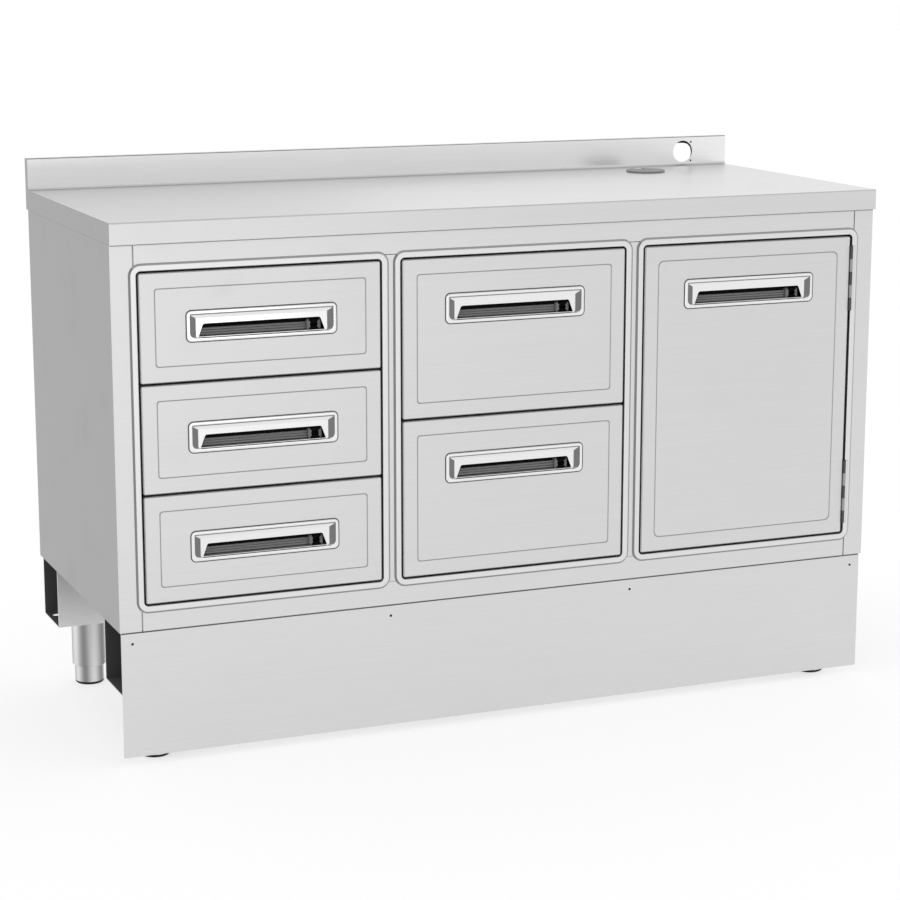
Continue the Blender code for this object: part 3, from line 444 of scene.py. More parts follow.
def round_edges(obj: bpy.types.Object, width: float) -> bpy.types.Object:
    """Round the sharp edges of a piece and mark them for wear.

    Args:
        obj: Piece with its materials on.
        width: Width of the rounding.

    Returns:
        The same object as plain mesh.
    """
    slots = len(obj.data.materials)
    obj.data.materials.append(obj.data.materials[0])
    smooth(obj.data)
    bevel = obj.modifiers.new("round_edges", "BEVEL")
    bevel.width = width
    bevel.segments = 2
    bevel.limit_method = "ANGLE"
    bevel.angle_limit = SQUARE_ANGLE
    bevel.material = slots
    even = obj.modifiers.new("even_normals", "WEIGHTED_NORMAL")
    even.weight = 100
    even.keep_sharp = True
    mesh = bake(obj).data
    worn = mesh.attributes.new("edge_wear", "FLOAT", "CORNER")
    beside: dict[tuple[int, int], int] = {}
    for polygon in mesh.polygons:
        if polygon.material_index < slots:
            for edge in polygon.edge_keys:
                beside[edge] = max(beside.get(edge, 0), polygon.material_index)
    for polygon in mesh.polygons:
        if polygon.material_index == slots:
            polygon.material_index = max(beside.get(edge, 0) for edge in polygon.edge_keys)
            for corner in polygon.loop_indices:
                worn.data[corner].value = 1.0
    mesh.materials.pop(index=slots)
    return obj


def settle(obj: bpy.types.Object, body: str, slot: str, nodes: Sequence[str] = ()) -> bpy.types.Object:
    """Let a finished piece ride on its body.

    Args:
        obj: Finished piece.
        body: Body that carries it.
        slot: Material slot of the record; not used.
        nodes: Solids that it stands for.

    Returns:
        The same object.
    """
    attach(obj, body)
    if nodes:
        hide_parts(*nodes)
    LOG.info("%s on %s: %d faces", obj.name, body, len(obj.data.polygons))
    return obj


def stand_for(obj: bpy.types.Object, node: str) -> bpy.types.Object:
    """Let a finished piece stand for a solid, on its body."""
    return settle(obj, BODY_OF[node], SLOT_OF[node], [node])


def paint(
    obj: bpy.types.Object, finishes: Sequence[Finish], pick: FacePicker | None = None
) -> bpy.types.Object:
    """Give a piece its finishes.

    Args:
        obj: Piece to paint.
        finishes: Its finishes, the main one first.
        pick: Gives the finish of a face from its centre and normal.

    Returns:
        The same piece.
    """
    obj.data.materials.clear()
    for finish in finishes:
        obj.data.materials.append(finish.material())
    for polygon in obj.data.polygons:
        finish = pick(polygon.center, polygon.normal) if pick else finishes[0]
        polygon.material_index = finishes.index(finish)
    return obj


def dress(
    node: str, finishes: Sequence[Finish], width: float, pick: FacePicker | None = None
) -> bpy.types.Object:
    """Replace a solid by a welded copy with round edges and its finishes.

    Args:
        node: Solid to stand for.
        finishes: Its finishes, the main one first.
        width: Width of the rounding of its edges.
        pick: Gives the finish of a face from its centre and normal.

    Returns:
        The new piece.
    """
    obj = paint(copy_solid(node), finishes, pick)
    return stand_for(round_edges(obj, width), node)


def loft(name: str, loops: Sequence[Sequence[Point]], ring: bool = False) -> bpy.types.Object:
    """Skin a closed shape over loops of points.

    Args:
        name: Name of the piece.
        loops: Loops with one number of points each.
        ring: Whether the last loop joins the first, instead of both being capped.

    Returns:
        The object with its faces outwards.
    """
    bm = bmesh.new()
    rows = [[bm.verts.new(point) for point in loop] for loop in loops]
    pairs = list(zip(rows, rows[1:]))
    if ring:
        pairs.append((rows[-1], rows[0]))
    else:
        bm.faces.new(rows[0])
        bm.faces.new(rows[-1])
    for low, high in pairs:
        for i in range(len(low)):
            bm.faces.new((low[i - 1], low[i], high[i], high[i - 1]))
    bmesh.ops.recalc_face_normals(bm, faces=bm.faces)
    return link_shape(name, bm)


def quarter(centre: Span, radius: float, start: float, steps: int) -> list[Span]:
    """Give the points of a quarter circle.

    Args:
        centre: Middle of the circle.
        radius: Its radius.
        start: First angle in degrees.
        steps: Number of facets.

    Returns:
        The points in order.
    """
    angles = [math.radians(start + 90 * i / steps) for i in range(steps + 1)]
    return [(centre[0] + radius * math.cos(a), centre[1] + radius * math.sin(a)) for a in angles]


def upright_loop(x: Span, z: Span, y: float, top: float, bottom: float, steps: int = 8) -> list[Point]:
    """Give an upright rectangle with round corners.

    Args:
        x: Left and right limit.
        z: Lower and upper limit.
        y: Depth.
        top: Radius of the upper corners.
        bottom: Radius of the lower corners.
        steps: Facets of each corner.

    Returns:
        The loop's points.
    """
    points = quarter((x[1] - top, z[1] - top), top, 0, steps)
    points += quarter((x[0] + top, z[1] - top), top, 90, steps)
    points += quarter((x[0] + bottom, z[0] + bottom), bottom, 180, steps)
    points += quarter((x[1] - bottom, z[0] + bottom), bottom, 270, steps)
    return [(a, y, b) for a, b in points]


def lathe(name: str, centre: Span, profile: Iterable[Span], steps: int = 64) -> bpy.types.Object:
    """Turn a profile round an upright axis.

    Args:
        name: Name of the piece.
        centre: Axis in X and Y.
        profile: Points as radius and height.
        steps: Facets of the round.

    Returns:
        The turned object.
    """
    turns = [2 * math.pi * i / steps for i in range(steps)]
    x, y = centre
    loops = []
    for radius, z in profile:
        loops.append([(x + radius * math.cos(t), y + radius * math.sin(t), z) for t in turns])
    return loft(name, loops)


def carve(obj: bpy.types.Object, *cutters: bpy.types.Object) -> bpy.types.Object:
    """Cut shapes out of a piece and remove them.

    Args:
        obj: Piece that is cut.
        cutters: Closed shapes.

    Returns:
        The cut piece as plain mesh.
    """
    for cutter in cutters:
        boolean = obj.modifiers.new("carve", "BOOLEAN")
        boolean.operation = "DIFFERENCE"
        boolean.solver = "EXACT"
        boolean.object = cutter
    bake(obj)
    for cutter in cutters:
        bpy.data.objects.remove(cutter)
    return obj


class RepeatTree:
    """Geometry Nodes tree that sets one shape on every point of a mesh."""

    sizes: dict[str, float] = {}

    def __init__(self, name: str) -> None:
        """Build the tree.

        Args:
            name: Name of the tree.
        """
        self.tree = bpy.data.node_groups.new(name, "GeometryNodeTree")
        face = self.tree.interface
        face.new_socket("Points", in_out="INPUT", socket_type="NodeSocketGeometry")
        for key, value in self.sizes.items():
            face.new_socket(key, in_out="INPUT", socket_type="NodeSocketFloat").default_value = value
        face.new_socket("Turn", in_out="INPUT", socket_type="NodeSocketVector")
        face.new_socket("Finish", in_out="INPUT", socket_type="NodeSocketMaterial")
        face.new_socket("Geometry", in_out="OUTPUT", socket_type="NodeSocketGeometry")
        nodes = NodeTree(self.tree)
        given = nodes.add("NodeGroupInput").outputs
        turn = nodes.add("FunctionNodeEulerToRotation", {0: given["Turn"]})
        spread = nodes.add("GeometryNodeInstanceOnPoints", {
            "Points": given["Points"], "Instance": self.shape(nodes, given), "Rotation": turn.outputs[0],
        })
        real = nodes.add("GeometryNodeRealizeInstances", {0: spread.outputs[0]})
        finish = nodes.add("GeometryNodeSetMaterial", {
            "Geometry": real.outputs[0], "Material": given["Finish"],
        })
        nodes.add("NodeGroupOutput", {0: finish.outputs[0]})

    def shape(self, nodes: NodeTree, given: Sockets) -> Socket:
        """Make the shape that is repeated; each kind of repeat has its own."""
        raise NotImplementedError

    def spread(
        self,
        name: str,
        points: Sequence[Point],
        finish: Finish,
        turn: Point = (0.0, 0.0, 0.0),
        **sizes: float,
    ) -> bpy.types.Object:
        """Set the shape on points.

        Args:
            name: Name of the new piece.
            points: Where the shapes go.
            finish: Their finish.
            turn: Rotation of each shape.
            sizes: Sizes that differ from the tree's own, by input name.

        Returns:
            The piece as plain mesh.
        """
        mesh = bpy.data.meshes.new(name)
        mesh.from_pydata(points, [], [])
        obj = link_object(name, mesh)
        modifier = obj.modifiers.new("repeat", "NODES")
        modifier.node_group = self.tree
        values = {"Turn": turn, "Finish": finish.material(), **sizes}
        for item in self.tree.interface.items_tree:
            if item.in_out == "INPUT" and item.name in values:
                modifier[item.identifier] = values[item.name]
        smooth(bake(obj).data)
        return obj


class RibTree(RepeatTree):
    """Round bars along X."""

    sizes = {"Length": 0.2, "Radius": 0.001}
    facets = 12

    def shape(self, nodes: NodeTree, given: Sockets) -> Socket:
        """Make one bar along X.

        Args:
            nodes: Tree that is built.
            given: Its inputs.

        Returns:
            The bar.
        """
        bar = nodes.add("GeometryNodeMeshCylinder", {
            "Vertices": self.facets, "Radius": given["Radius"], "Depth": given["Length"],
        })
        lie = nodes.add("GeometryNodeTransform", {
            "Geometry": bar.outputs["Mesh"], "Rotation": (0.0, math.pi / 2, 0.0),
        })
        return lie.outputs[0]


class ScrewTree(RepeatTree):
    """Low round screw heads along Z, each with a slotted recess."""

    sizes = {"Radius": 0.0024, "Height": 0.0012, "Slot": 0.0007}
    facets = 24
    taper = 0.72
    slot_length = 1.3
    slot_lift = 0.9

    def shape(self, nodes: NodeTree, given: Sockets) -> Socket:
        """Make one screw head with its foot at the point.

        Args:
            nodes: Tree that is built.
            given: Its inputs.

        Returns:
            The screw head.
        """
        radius, height = given["Radius"], given["Height"]
        head = nodes.add("GeometryNodeMeshCone", {
            "Vertices": self.facets,
            "Radius Bottom": radius,
            "Radius Top": nodes.math("MULTIPLY", radius, self.taper),
            "Depth": height,
        })
        length = nodes.math("MULTIPLY", radius, self.slot_length)
        size = nodes.add("ShaderNodeCombineXYZ", {"X": length, "Y": given["Slot"], "Z": height})
        recess = nodes.add("GeometryNodeMeshCube", {"Size": size.outputs[0]})
        lift = nodes.add("ShaderNodeCombineXYZ", {"Z": nodes.math("MULTIPLY", height, self.slot_lift)})
        raised = nodes.add("GeometryNodeTransform", {
            "Geometry": recess.outputs["Mesh"], "Translation": lift.outputs[0],
        })
        cut = nodes.add("GeometryNodeMeshBoolean", operation="DIFFERENCE")
        nodes.fill(cut, {"Mesh 1": head.outputs["Mesh"], "Mesh 2": raised.outputs[0]})
        return cut.outputs["Mesh"]


RIBS = RibTree("rib_repeat")
SCREWS = ScrewTree("screw_repeat")


@dataclass
class Worktop:
    """Worktop with its upstand, and the cable grommet in it."""

    edge: float = 0.0010
    grommet_edge: float = 0.0004
    cap_round: float = 0.0006
    cap_shoulder: float = 0.3
    cap_steps: int = 96
    spigot: float = 0.0261
    spigot_wall: float = 0.002
    notch_half: float = 0.010
    notch_depth: float = 0.026
    notch_corner: float = 0.004
    notch_steps: int = 6
    margin: float = 0.004
    socket: Span = (0.6486, 0.992)
    socket_radius: float = 0.0225
    socket_rim: float = 0.001
    upstand_face: float = 0.288
    cove: float = 0.007
    cove_facing: float = 0.2
    top_facing: float = 0.7

    def _pick(self, centre: Vector, normal: Vector) -> Finish:
        """Give the finish of a face by its place and direction.

        Args:
            centre: Middle of the face.
            normal: Its direction.

        Returns:
            The face's finish.
        """
        behind = centre.y > self.upstand_face + PICK_MARGIN
        away = math.hypot(centre.x - self.socket[0], centre.z - self.socket[1])
        # Painted light and shade by the way faces turn: near black inside the upstand, round the socket's
        # wall and underneath; darker steel on the ends; lighter tones on the cove, the top faces and the
        # upstand.
        if behind and (normal.y < -FACING or away < self.socket_radius + self.socket_rim):
            return SHADE_STEEL
        if abs(normal.x) > FACING:
            return SIDE_STEEL_PAINTED_SHADE
        if normal.z < -FACING:
            return SHADE_STEEL
        in_cove = centre.y > self.upstand_face - self.cove and centre.z < self.socket[1] - self.socket_radius
        if in_cove and normal.y < -self.cove_facing and normal.z > self.cove_facing:
            return COVE_STEEL
        if normal.z > self.top_facing:
            return TOP_STEEL
        return UPSTAND_STEEL if centre.y > 0.0 else WORKTOP_STEEL

    def _cap(self) -> None:
        """Turn the grommet's cap and cut its notch."""
        low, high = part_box("grommet_cap")
        x, y = (low.x + high.x) / 2, (low.y + high.y) / 2
        radius = (high.x - low.x) / 2
        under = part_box("grommet_liner")[1].z + SEAT_GAP
        shoulder = self.cap_round * self.cap_shoulder
        profile = [
            (self.spigot - self.spigot_wall, under),
            (self.spigot - self.spigot_wall, low.z),
            (self.spigot, low.z),
            (self.spigot, under),
            (radius, under),
            (radius, high.z - self.cap_round),
            (radius - shoulder, high.z - shoulder),
            (radius - self.cap_round, high.z),
        ]
        cap = lathe("grommet_cap_dressed", (x, y), profile, self.cap_steps)
        start, turn, half = y + radius - self.notch_depth, self.notch_corner, self.notch_half
        outline = quarter((x + half - turn, start + turn), turn, 270, self.notch_steps)
        outline += [(x + half, y + radius + self.margin), (x - half, y + radius + self.margin)]
        outline += quarter((x - half + turn, start + turn), turn, 180, self.notch_steps)
        levels = (low.z - self.margin, high.z + self.margin)
        notch = loft("notch", [[(a, b, z) for a, b in outline] for z in levels])
        carve(cap, notch)
        weld(cap.data)
        stand_for(round_edges(paint(cap, [GROMMET_PLASTIC]), self.grommet_edge), "grommet_cap")

    def build(self) -> None:
        """Dress the worktop and both pieces of the grommet."""
        finishes = [WORKTOP_STEEL, SIDE_STEEL_PAINTED_SHADE, TOP_STEEL, SHADE_STEEL, UPSTAND_STEEL, COVE_STEEL]
        dress("worktop", finishes, self.edge, self._pick)
        dress("grommet_liner", [GROMMET_PLASTIC], self.grommet_edge)
        self._cap()


@dataclass
class Carcass:
    """Panels and partitions of the body."""

    edge: float = 0.0005
    screw_inset: float = 0.012
    screw_rows: int = 4
    screw_radius: float = 0.004
    screw_height: float = 0.0018
    joint_height: float = 0.0023
    joint_depth: float = 0.0010
    joint_proud: float = 0.0002
    sheet: float = 0.0012
    seam: float = 0.002
    seam_lap: float = 0.004
    seam_end: float = 0.002
    corner_steps: int = 3

    def _seam_strips(self) -> None:
        """Close the seams beside the stiles with strips behind the sheets, in a darker grey as painted shade
        in the gaps.
        """
        sheet = self.sheet
        for node in ("front_top_rail", "floor_panel"):
            low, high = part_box(node)
            z = (low.z + self.seam_end, high.z - self.seam_end)
            front = low.y + sheet + SEAT_GAP
            levels = (front, front + sheet)
            for side, edge in zip(SIDES, (low.x - self.seam / 2, high.x + self.seam / 2)):
                x = (edge - self.seam_lap, edge + self.seam_lap)
                loops = [upright_loop(x, z, y, sheet, sheet, self.corner_steps) for y in levels]
                strip = paint(loft(f"{node}_seam_{side}", loops), [GROOVE_PAINTED_SHADE])
                settle(strip, *FIXED_STEEL)

    def _joint(self) -> None:
        """Lay a grey bead, like sealant, along the body's front under the worktop, as painted shade for the
        shadow line under its overhang.
        """
        low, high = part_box("side_panel_left")[0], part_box("side_panel_right")[1]
        x = (low.x + self.joint_depth, high.x - self.joint_depth)
        z = (high.z - self.joint_height, high.z)
        proud = self.joint_proud
        levels = (low.y - proud, low.y + self.joint_depth)
        loops = [upright_loop(x, z, y, proud, proud, self.corner_steps) for y in levels]
        settle(paint(loft("worktop_shadow_bead", loops), [JOINT_BEAD_PAINTED_SHADE]), *FIXED_STEEL)

    def _back_screws(self) -> None:
        """Set screws down the back panel, along both edges and the middle."""
        low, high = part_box("back_panel")
        reach = high.z - low.z - 2 * self.screw_inset
        points = []
        for x in (low.x + self.screw_inset, 0.0, high.x - self.screw_inset):
            for i in range(self.screw_rows):
                points.append((x, high.y, low.z + self.screw_inset + reach * i / (self.screw_rows - 1)))
        screws = SCREWS.spread(
            "back_panel_screws", points, HINGE_STEEL, (-math.pi / 2, 0.0, 0.0),
            Radius=self.screw_radius, Height=self.screw_height,
        )
        settle(screws, *FIXED_STEEL)

    @staticmethod
    def _side(centre: Vector, normal: Vector) -> Finish:
        """Tell a side panel's folds, which face the front or the rear, from its wall, which carries the
        painted shade of the sides.
        """
        return BODY_STEEL if abs(normal.y) > FACING else SIDE_STEEL_PAINTED_SHADE

    @staticmethod
    def _partition(centre: Vector, normal: Vector) -> Finish:
        """Tell a partition's front from its walls."""
        return BODY_STEEL if normal.y < -FACING else INNER_STEEL

    def build(self) -> None:
        """Dress every fixed panel."""
        for side in SIDES:
            dress(f"side_panel_{side}", [SIDE_STEEL_PAINTED_SHADE, BODY_STEEL], self.edge, self._side)
            dress(f"partition_{side}", [INNER_STEEL, BODY_STEEL], self.edge, self._partition)
        for node in ("floor_panel", "front_top_rail"):
            dress(node, [BODY_STEEL], self.edge)
        for node in ("back_panel", "shelf"):
            dress(node, [INNER_STEEL], self.edge)
        self._back_screws()
        self._seam_strips()
        self._joint()


@dataclass
class BayFrame:
    """Raised frame round one bay, with soft edges and a sleeve into the opening."""

    bay: str
    band: float = 0.0135
    corner: float = 0.008
    border: float = 0.0032
    round: float = 0.002
    round_steps: int = 4
    corner_steps: int = 10
    crest: float = 0.0004
    foot: float = 0.0003
    sleeve_sheet: float = 0.0015
    edge: float = 0.0002
    slope_facing: Span = (-0.97, -0.02)

    def __post_init__(self) -> None:
        """Read the frame's place from its solid."""
        self.node = f"bay_frame_{self.bay}"
        self.low, self.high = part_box(self.node)
        self.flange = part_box("floor_panel")[0].y - SEAT_GAP

    def _profile(self) -> list[Span]:
        """Give the frame's section.

        Returns:
            Points as distance out from the opening and depth.
        """
        face, sleeve, turn = self.low.y, self.high.y, self.round
        crown = self.band - self.border
        return [
            (0.0, sleeve),
            (0.0, face + turn),
            *quarter((turn, face + turn), turn, 180, self.round_steps)[1:],
            (crown - 3 * self.crest, face),
            (crown - self.crest, face + self.crest / 4),
            (crown, face + self.crest),
            (self.band - self.foot, self.flange - self.foot),
            (self.band, self.flange),
            (self.sleeve_sheet, self.flange),
            (self.sleeve_sheet, sleeve),
        ]

    def _pick(self, centre: Vector, normal: Vector) -> Finish:
        """Give the finish of a face: the band, or the border with painted shade by the way it faces.

        Args:
            centre: Middle of the face.
            normal: Its direction.

        Returns:
            The face's finish.
        """
        middle = (self.low + self.high) / 2
        half = (self.high - self.low) / 2
        out_x = abs(centre.x - middle.x) - half.x + self.band
        out_z = abs(centre.z - middle.z) - half.z + self.band
        inner = max(out_x, out_z) < self.band / 2 and min(out_x, out_z) < 0.0
        frontal, sideways = self.slope_facing
        if inner or normal.y > sideways or normal.y < frontal:
            return FRAME_STEEL
        outwards = normal.x * (centre.x - middle.x) + normal.z * (centre.z - middle.z)
        if outwards < 0.0:
            return FRAME_STEEL
        # Painted shade: darkest on the border facing left, middling facing down, faintest facing right or
        # up.
        if abs(normal.x) > abs(normal.z):
            return BORDER_PAINTED_DEEP_SHADE if normal.x < 0.0 else BORDER_PAINTED_FAINT_SHADE
        return BORDER_PAINTED_FAINT_SHADE if normal.z > 0.0 else BORDER_PAINTED_HALF_SHADE

    def build(self) -> None:
        """Loft the frame and paint shade on its outer border, darker where it faces away from the light."""
        loops = []
        for out, y in self._profile():
            grow = self.band - out
            x = (self.low.x + grow, self.high.x - grow)
            z = (self.low.z + grow, self.high.z - grow)
            radius = self.corner + out
            loops.append(upright_loop(x, z, y, radius, radius, self.corner_steps))
        obj = loft(f"{self.node}_dressed", loops, ring=True)
        paint(obj, [FRAME_STEEL, BORDER_PAINTED_FAINT_SHADE, BORDER_PAINTED_HALF_SHADE, BORDER_PAINTED_DEEP_SHADE], self._pick)
        stand_for(round_edges(obj, self.edge), self.node)


@dataclass
class Pull:
    """Recessed pull: bezel on a seal ring, dark as rubber and as painted shade for the gap round the bezel,
    hood with a finger slot, and a ribbed cup behind it.

    Corner pairs hold the radius of the upper and of the lower corners. A lip row holds how far it
    grows, its depth and its corners; a bezel row its inset and depth; a boss row its inset and rise.
    """

    node: str
    edge: float = 0.0006
    bezel: float = 0.008
    bezel_rows: tuple[Span, ...] = ((0.0016, 0.0), (0.0009, 0.0002), (0.0003, 0.0007), (0.0, 0.0013))
    corner: float = 0.010
    seal: float = 0.0016
    seal_depth: float = 0.0005
    seal_round: float = 0.0002
    seal_rim: float = 0.0003
    hood_side: float = 0.0105
    hood_top: float = 0.0075
    hood_bottom: float = 0.0006
    hood_recess: float = 0.003
    hood_sheet: float = 0.0012
    hood_height: float = 0.017
    hood_corners: Span = (0.0004, 0.003)
    slot_top_inset: float = 0.0235
    slot_bottom_inset: float = 0.015
    slot_foot: float = 0.0014
    slot_corners: Span = (0.003, 0.0008)
    slot_margin: float = 0.001
    cup_wall: float = 0.0014
    cup_corner: float = 0.006
    shade_line: float = -0.005
    pocket_corners: Span = (0.004, 0.002)
    lip: float = 0.0012
    lip_corners: Span = (0.0008, 0.0095)
    lip_rows: tuple[tuple[float, ...], ...] = (
        (0.0009, 0.0001, 0.0016, 0.0102),
        (0.0016, 0.0, 0.0022, 0.0106),
    )
    lip_facing: float = 0.38
    cheek_facing: Span = (0.08, 0.6)
    rib_radius: float = 0.0022
    rib_pitch: float = 0.0046
    rib_count: int = 3
    rib_base: float = 0.003
    rib_shift: float = 0.015
    rib_cut: float = 0.04
    boss_half: float = 0.013
    boss_inset: float = 0.031
    boss_drop: float = 0.001
    boss_rim: float = 0.005
    boss_rows: tuple[Span, ...] = ((0.0, 0.0), (0.0, 0.008), (0.001, 0.009), (0.006, 0.009), (0.007, 0.003))
    boss_corner: float = 0.004
    boss_least: float = 0.001
    boss_steps: int = 6
    boss_edge: float = 0.0003

    def __post_init__(self) -> None:
        """Read the pull's place and outer sizes from its solid."""
        self.low, self.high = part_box(self.node)
        self.middle_x = (self.low.x + self.high.x) / 2
        self.middle_z = (self.low.z + self.high.z) / 2
        self.half_x = (self.high.x - self.low.x) / 2
        self.half_z = (self.high.z - self.low.z) / 2
        self.in_x = self.half_x - self.bezel
        self.in_z = self.half_z - self.bezel
        self.hood_y = self.low.y + self.hood_recess
        self.pocket = (self.in_x - self.cup_wall, self.in_z)
        self.pocket_y = (self.hood_y + self.hood_sheet, self.high.y - self.cup_wall)

    def _loop(self, out: float, low: float, high: float, y: float, top: float, bottom: float) -> list[Point]:
        """Give a loop round the pull's middle.

        Args:
            out: Half width.
            low: Lower limit from the middle.
            high: Upper limit from the middle.
            y: Depth.
            top: Radius of the upper corners.
            bottom: Radius of the lower corners.

        Returns:
            The loop's points.
        """
        x = (self.middle_x - out, self.middle_x + out)
        return upright_loop(x, (self.middle_z + low, self.middle_z + high), y, top, bottom)

    def _even(self, inset: float, y: float) -> list[Point]:
        """Give a loop drawn in evenly from the bezel's outside.

        Args:
            inset: How far it is drawn in.
            y: Depth.

        Returns:
            The loop's points.
        """
        radius = self.corner - inset
        half_z = self.half_z - inset
        return self._loop(self.half_x - inset, -half_z, half_z, y, radius, radius)

    def _shell(self) -> bpy.types.Object:
        """Loft the pull from its hood, over the bezel, to the back of the cup.

        Returns:
            The closed shell, not yet hollow.
        """
        front, in_x, in_z = self.low.y, self.in_x, self.in_z
        cup_z = in_z + self.cup_wall
        hood = (in_x - self.hood_side, -in_z + self.hood_bottom, in_z - self.hood_top)
        loops = [self._loop(*hood, self.hood_y, *self.hood_corners)]
        loops.append(self._loop(in_x, -in_z, in_z - self.lip, front + self.lip, *self.lip_corners))
        for grow, y, top, bottom in self.lip_rows:
            loops.append(self._loop(in_x + grow, -in_z - grow, in_z + grow, front + y, top, bottom))
        for inset, y in self.bezel_rows:
            loops.append(self._even(self.seal + inset, front + y))
        for inset, rise in (
            (self.seal, self.seal_depth),
            (self.seal_round, self.seal_depth),
            (0.0, self.seal_rim),
            (0.0, 0.0),
        ):
            loops.append(self._even(inset, FLANGE_Y - rise))
        for y in (FLANGE_Y, self.high.y):
            loops.append(self._loop(in_x, -cup_z, cup_z, y, self.cup_corner, self.cup_corner))
        return loft(f"{self.node}_dressed", loops)

    def _cutters(self) -> list[bpy.types.Object]:
        """Make the shapes of the cup's hollow and of the slot.

        Returns:
            The two cutters.
        """
        half_x, half_z = self.pocket
        hollow = [self._loop(half_x, -half_z, half_z, y, *self.pocket_corners) for y in self.pocket_y]
        slot_z = (-self.in_z + self.slot_foot, self.in_z - self.hood_height)
        low, height = self.middle_z + slot_z[0], slot_z[1] - slot_z[0]
        lean = self.slot_top_inset - self.slot_bottom_inset
        foot = self.in_x - self.slot_bottom_inset
        slot = []
        for depth in (self.low.y - self.slot_margin, self.pocket_y[0] + self.slot_margin):
            loop = []
            for x, y, z in self._loop(foot, *slot_z, depth, *self.slot_corners):
                loop.append((x - math.copysign(lean * (z - low) / height, x - self.middle_x), y, z))
            slot.append(loop)
        return [loft("hollow", hollow), loft("slot", slot)]

    def _pick(self, centre: Vector, normal: Vector) -> Finish:
        """Give the finish of a face by its place on the pull.

        Args:
            centre: Middle of the face.
            normal: Its direction.

        Returns:
            The face's finish.
        """
        out, up, near = abs(centre.x - self.middle_x), centre.z - self.middle_z, PICK_MARGIN
        in_cup = out < self.pocket[0] + near and abs(up) < self.pocket[1] + near
        if in_cup and self.pocket_y[0] - near < centre.y < self.pocket_y[1] + near:
            # Painted shade: near black on the cup's upper part under the hood and on the faces turned to the
            # back.
            return CUP_SHADE if up > self.shade_line or normal.y > FACING else CUP_GREY
        if out > self.half_x - self.bezel / 2 or abs(up) > self.half_z - self.bezel / 2:
            # The seal ring is dark as rubber and as painted shade for the gap round the bezel.
            on_seal = centre.y > FLANGE_Y - self.seal_depth - near and normal.y < FACING
            return SEAL_PAINTED_SHADE if on_seal else PULL_CHROME
        if self.low.y + near < centre.y < self.hood_y - near:
            least, most = self.cheek_facing
            at_end = out > self.in_x - self.hood_side and normal.y < -FACING
            if at_end and abs(normal.x) > least and abs(normal.z) < most:
                return CHEEK_GREY
            # Painted shade on the faces under the upper lip, which turn downwards.
            if normal.z < -self.lip_facing and up > 0:
                return LIP_PAINTED_SHADE
        return PULL_CHROME

    def _ribs(self, body: str) -> None:
        """Set the ribs on the cup's rear wall.

        Args:
            body: Body that carries the pull.
        """
        base = self.middle_z - self.pocket[1] + self.rib_base
        x, rear = self.middle_x - self.rib_shift, self.pocket_y[1]
        points = [(x, rear, base + self.rib_pitch * i) for i in range(self.rib_count)]
        length = 2 * self.pocket[0] - self.rib_cut
        ribs = RIBS.spread(f"{self.node}_ribs", points, CUP_GREY, Length=length, Radius=self.rib_radius)
        settle(ribs, body, "pull_chrome")

    def _boss(self, body: str) -> None:
        """Set the hollow fixing boss at the end of the cup.

        Args:
            body: Body that carries the pull.
        """
        middle = self.middle_x + self.pocket[0] - self.boss_inset
        x = (middle - self.boss_half, middle + self.boss_half)
        z = (self.middle_z - self.pocket[1], self.middle_z - self.boss_drop)
        loops = []
        for inset, rise in self.boss_rows:
            span_x, span_z = (x[0] + inset, x[1] - inset), (z[0] + inset, z[1] - inset)
            radius = max(self.boss_least, self.boss_corner - inset / 4)
            y = self.pocket_y[1] - rise
            loops.append(upright_loop(span_x, span_z, y, radius, radius, self.boss_steps))

        def pick(centre: Vector, normal: Vector) -> Finish:
            """Tell the boss's middle, painted near black as shade in its hollow, from its rim."""
            return CUP_SHADE if abs(centre.x - middle) < self.boss_half - self.boss_rim else CHEEK_GREY

        boss = paint(loft(f"{self.node}_boss", loops), [CHEEK_GREY, CUP_SHADE], pick)
        settle(round_edges(boss, self.boss_edge), body, "pull_chrome")

    def build(self) -> None:
        """Loft, hollow and dress the pull."""
        obj = carve(self._shell(), *self._cutters())
        weld(obj.data, flatten=False)
        finishes = [PULL_CHROME, CHEEK_GREY, CUP_GREY, CUP_SHADE, LIP_PAINTED_SHADE, SEAL_PAINTED_SHADE]
        round_edges(paint(obj, finishes, self._pick), self.edge)
        stand_for(obj, self.node)
        self._ribs(BODY_OF[self.node])
        self._boss(BODY_OF[self.node])


@dataclass
class Front:
    """Front of a drawer or of the door, with a fine groove round its face."""

    node: str
    edge: float = 0.0004
    groove_depth: Span = (0.0001, 0.0007)
    groove_facing: Span = (-0.95, -0.75)

    def _pick(self, centre: Vector, normal: Vector) -> Finish:
        """Tell the groove's sloping faces, which lie just behind the face.

        Args:
            centre: Middle of the face.
            normal: Its direction.

        Returns:
            The face's finish.
        """
        shallow = self.groove_depth[0] < centre.y - FACE_Y < self.groove_depth[1]
        sloping = self.groove_facing[0] < normal.y < self.groove_facing[1]
        # Painted shade on the groove's sloping faces.
        return GROOVE_PAINTED_SHADE if shallow and sloping else FRONT_STEEL

    def build(self) -> None:
        """Dress the front and paint shade into its groove."""
        dress(self.node, [FRONT_STEEL, GROOVE_PAINTED_SHADE], self.edge, self._pick)


@dataclass
class Drawer:
    """One drawer with its front, pull, box and slide members."""

    name: str
    edge: float = 0.0005

    def build(self) -> None:
        """Dress the drawer's pieces."""
        Front(f"{self.name}_drawer_front").build()
        Pull(f"{self.name}_drawer_handle").build()
        dress(f"{self.name}_drawer_box", [INNER_STEEL], self.edge)
        for side in SIDES:
            dress(f"{self.name}_slide_{side}", [SLIDE_STEEL], SLIDE_EDGE)


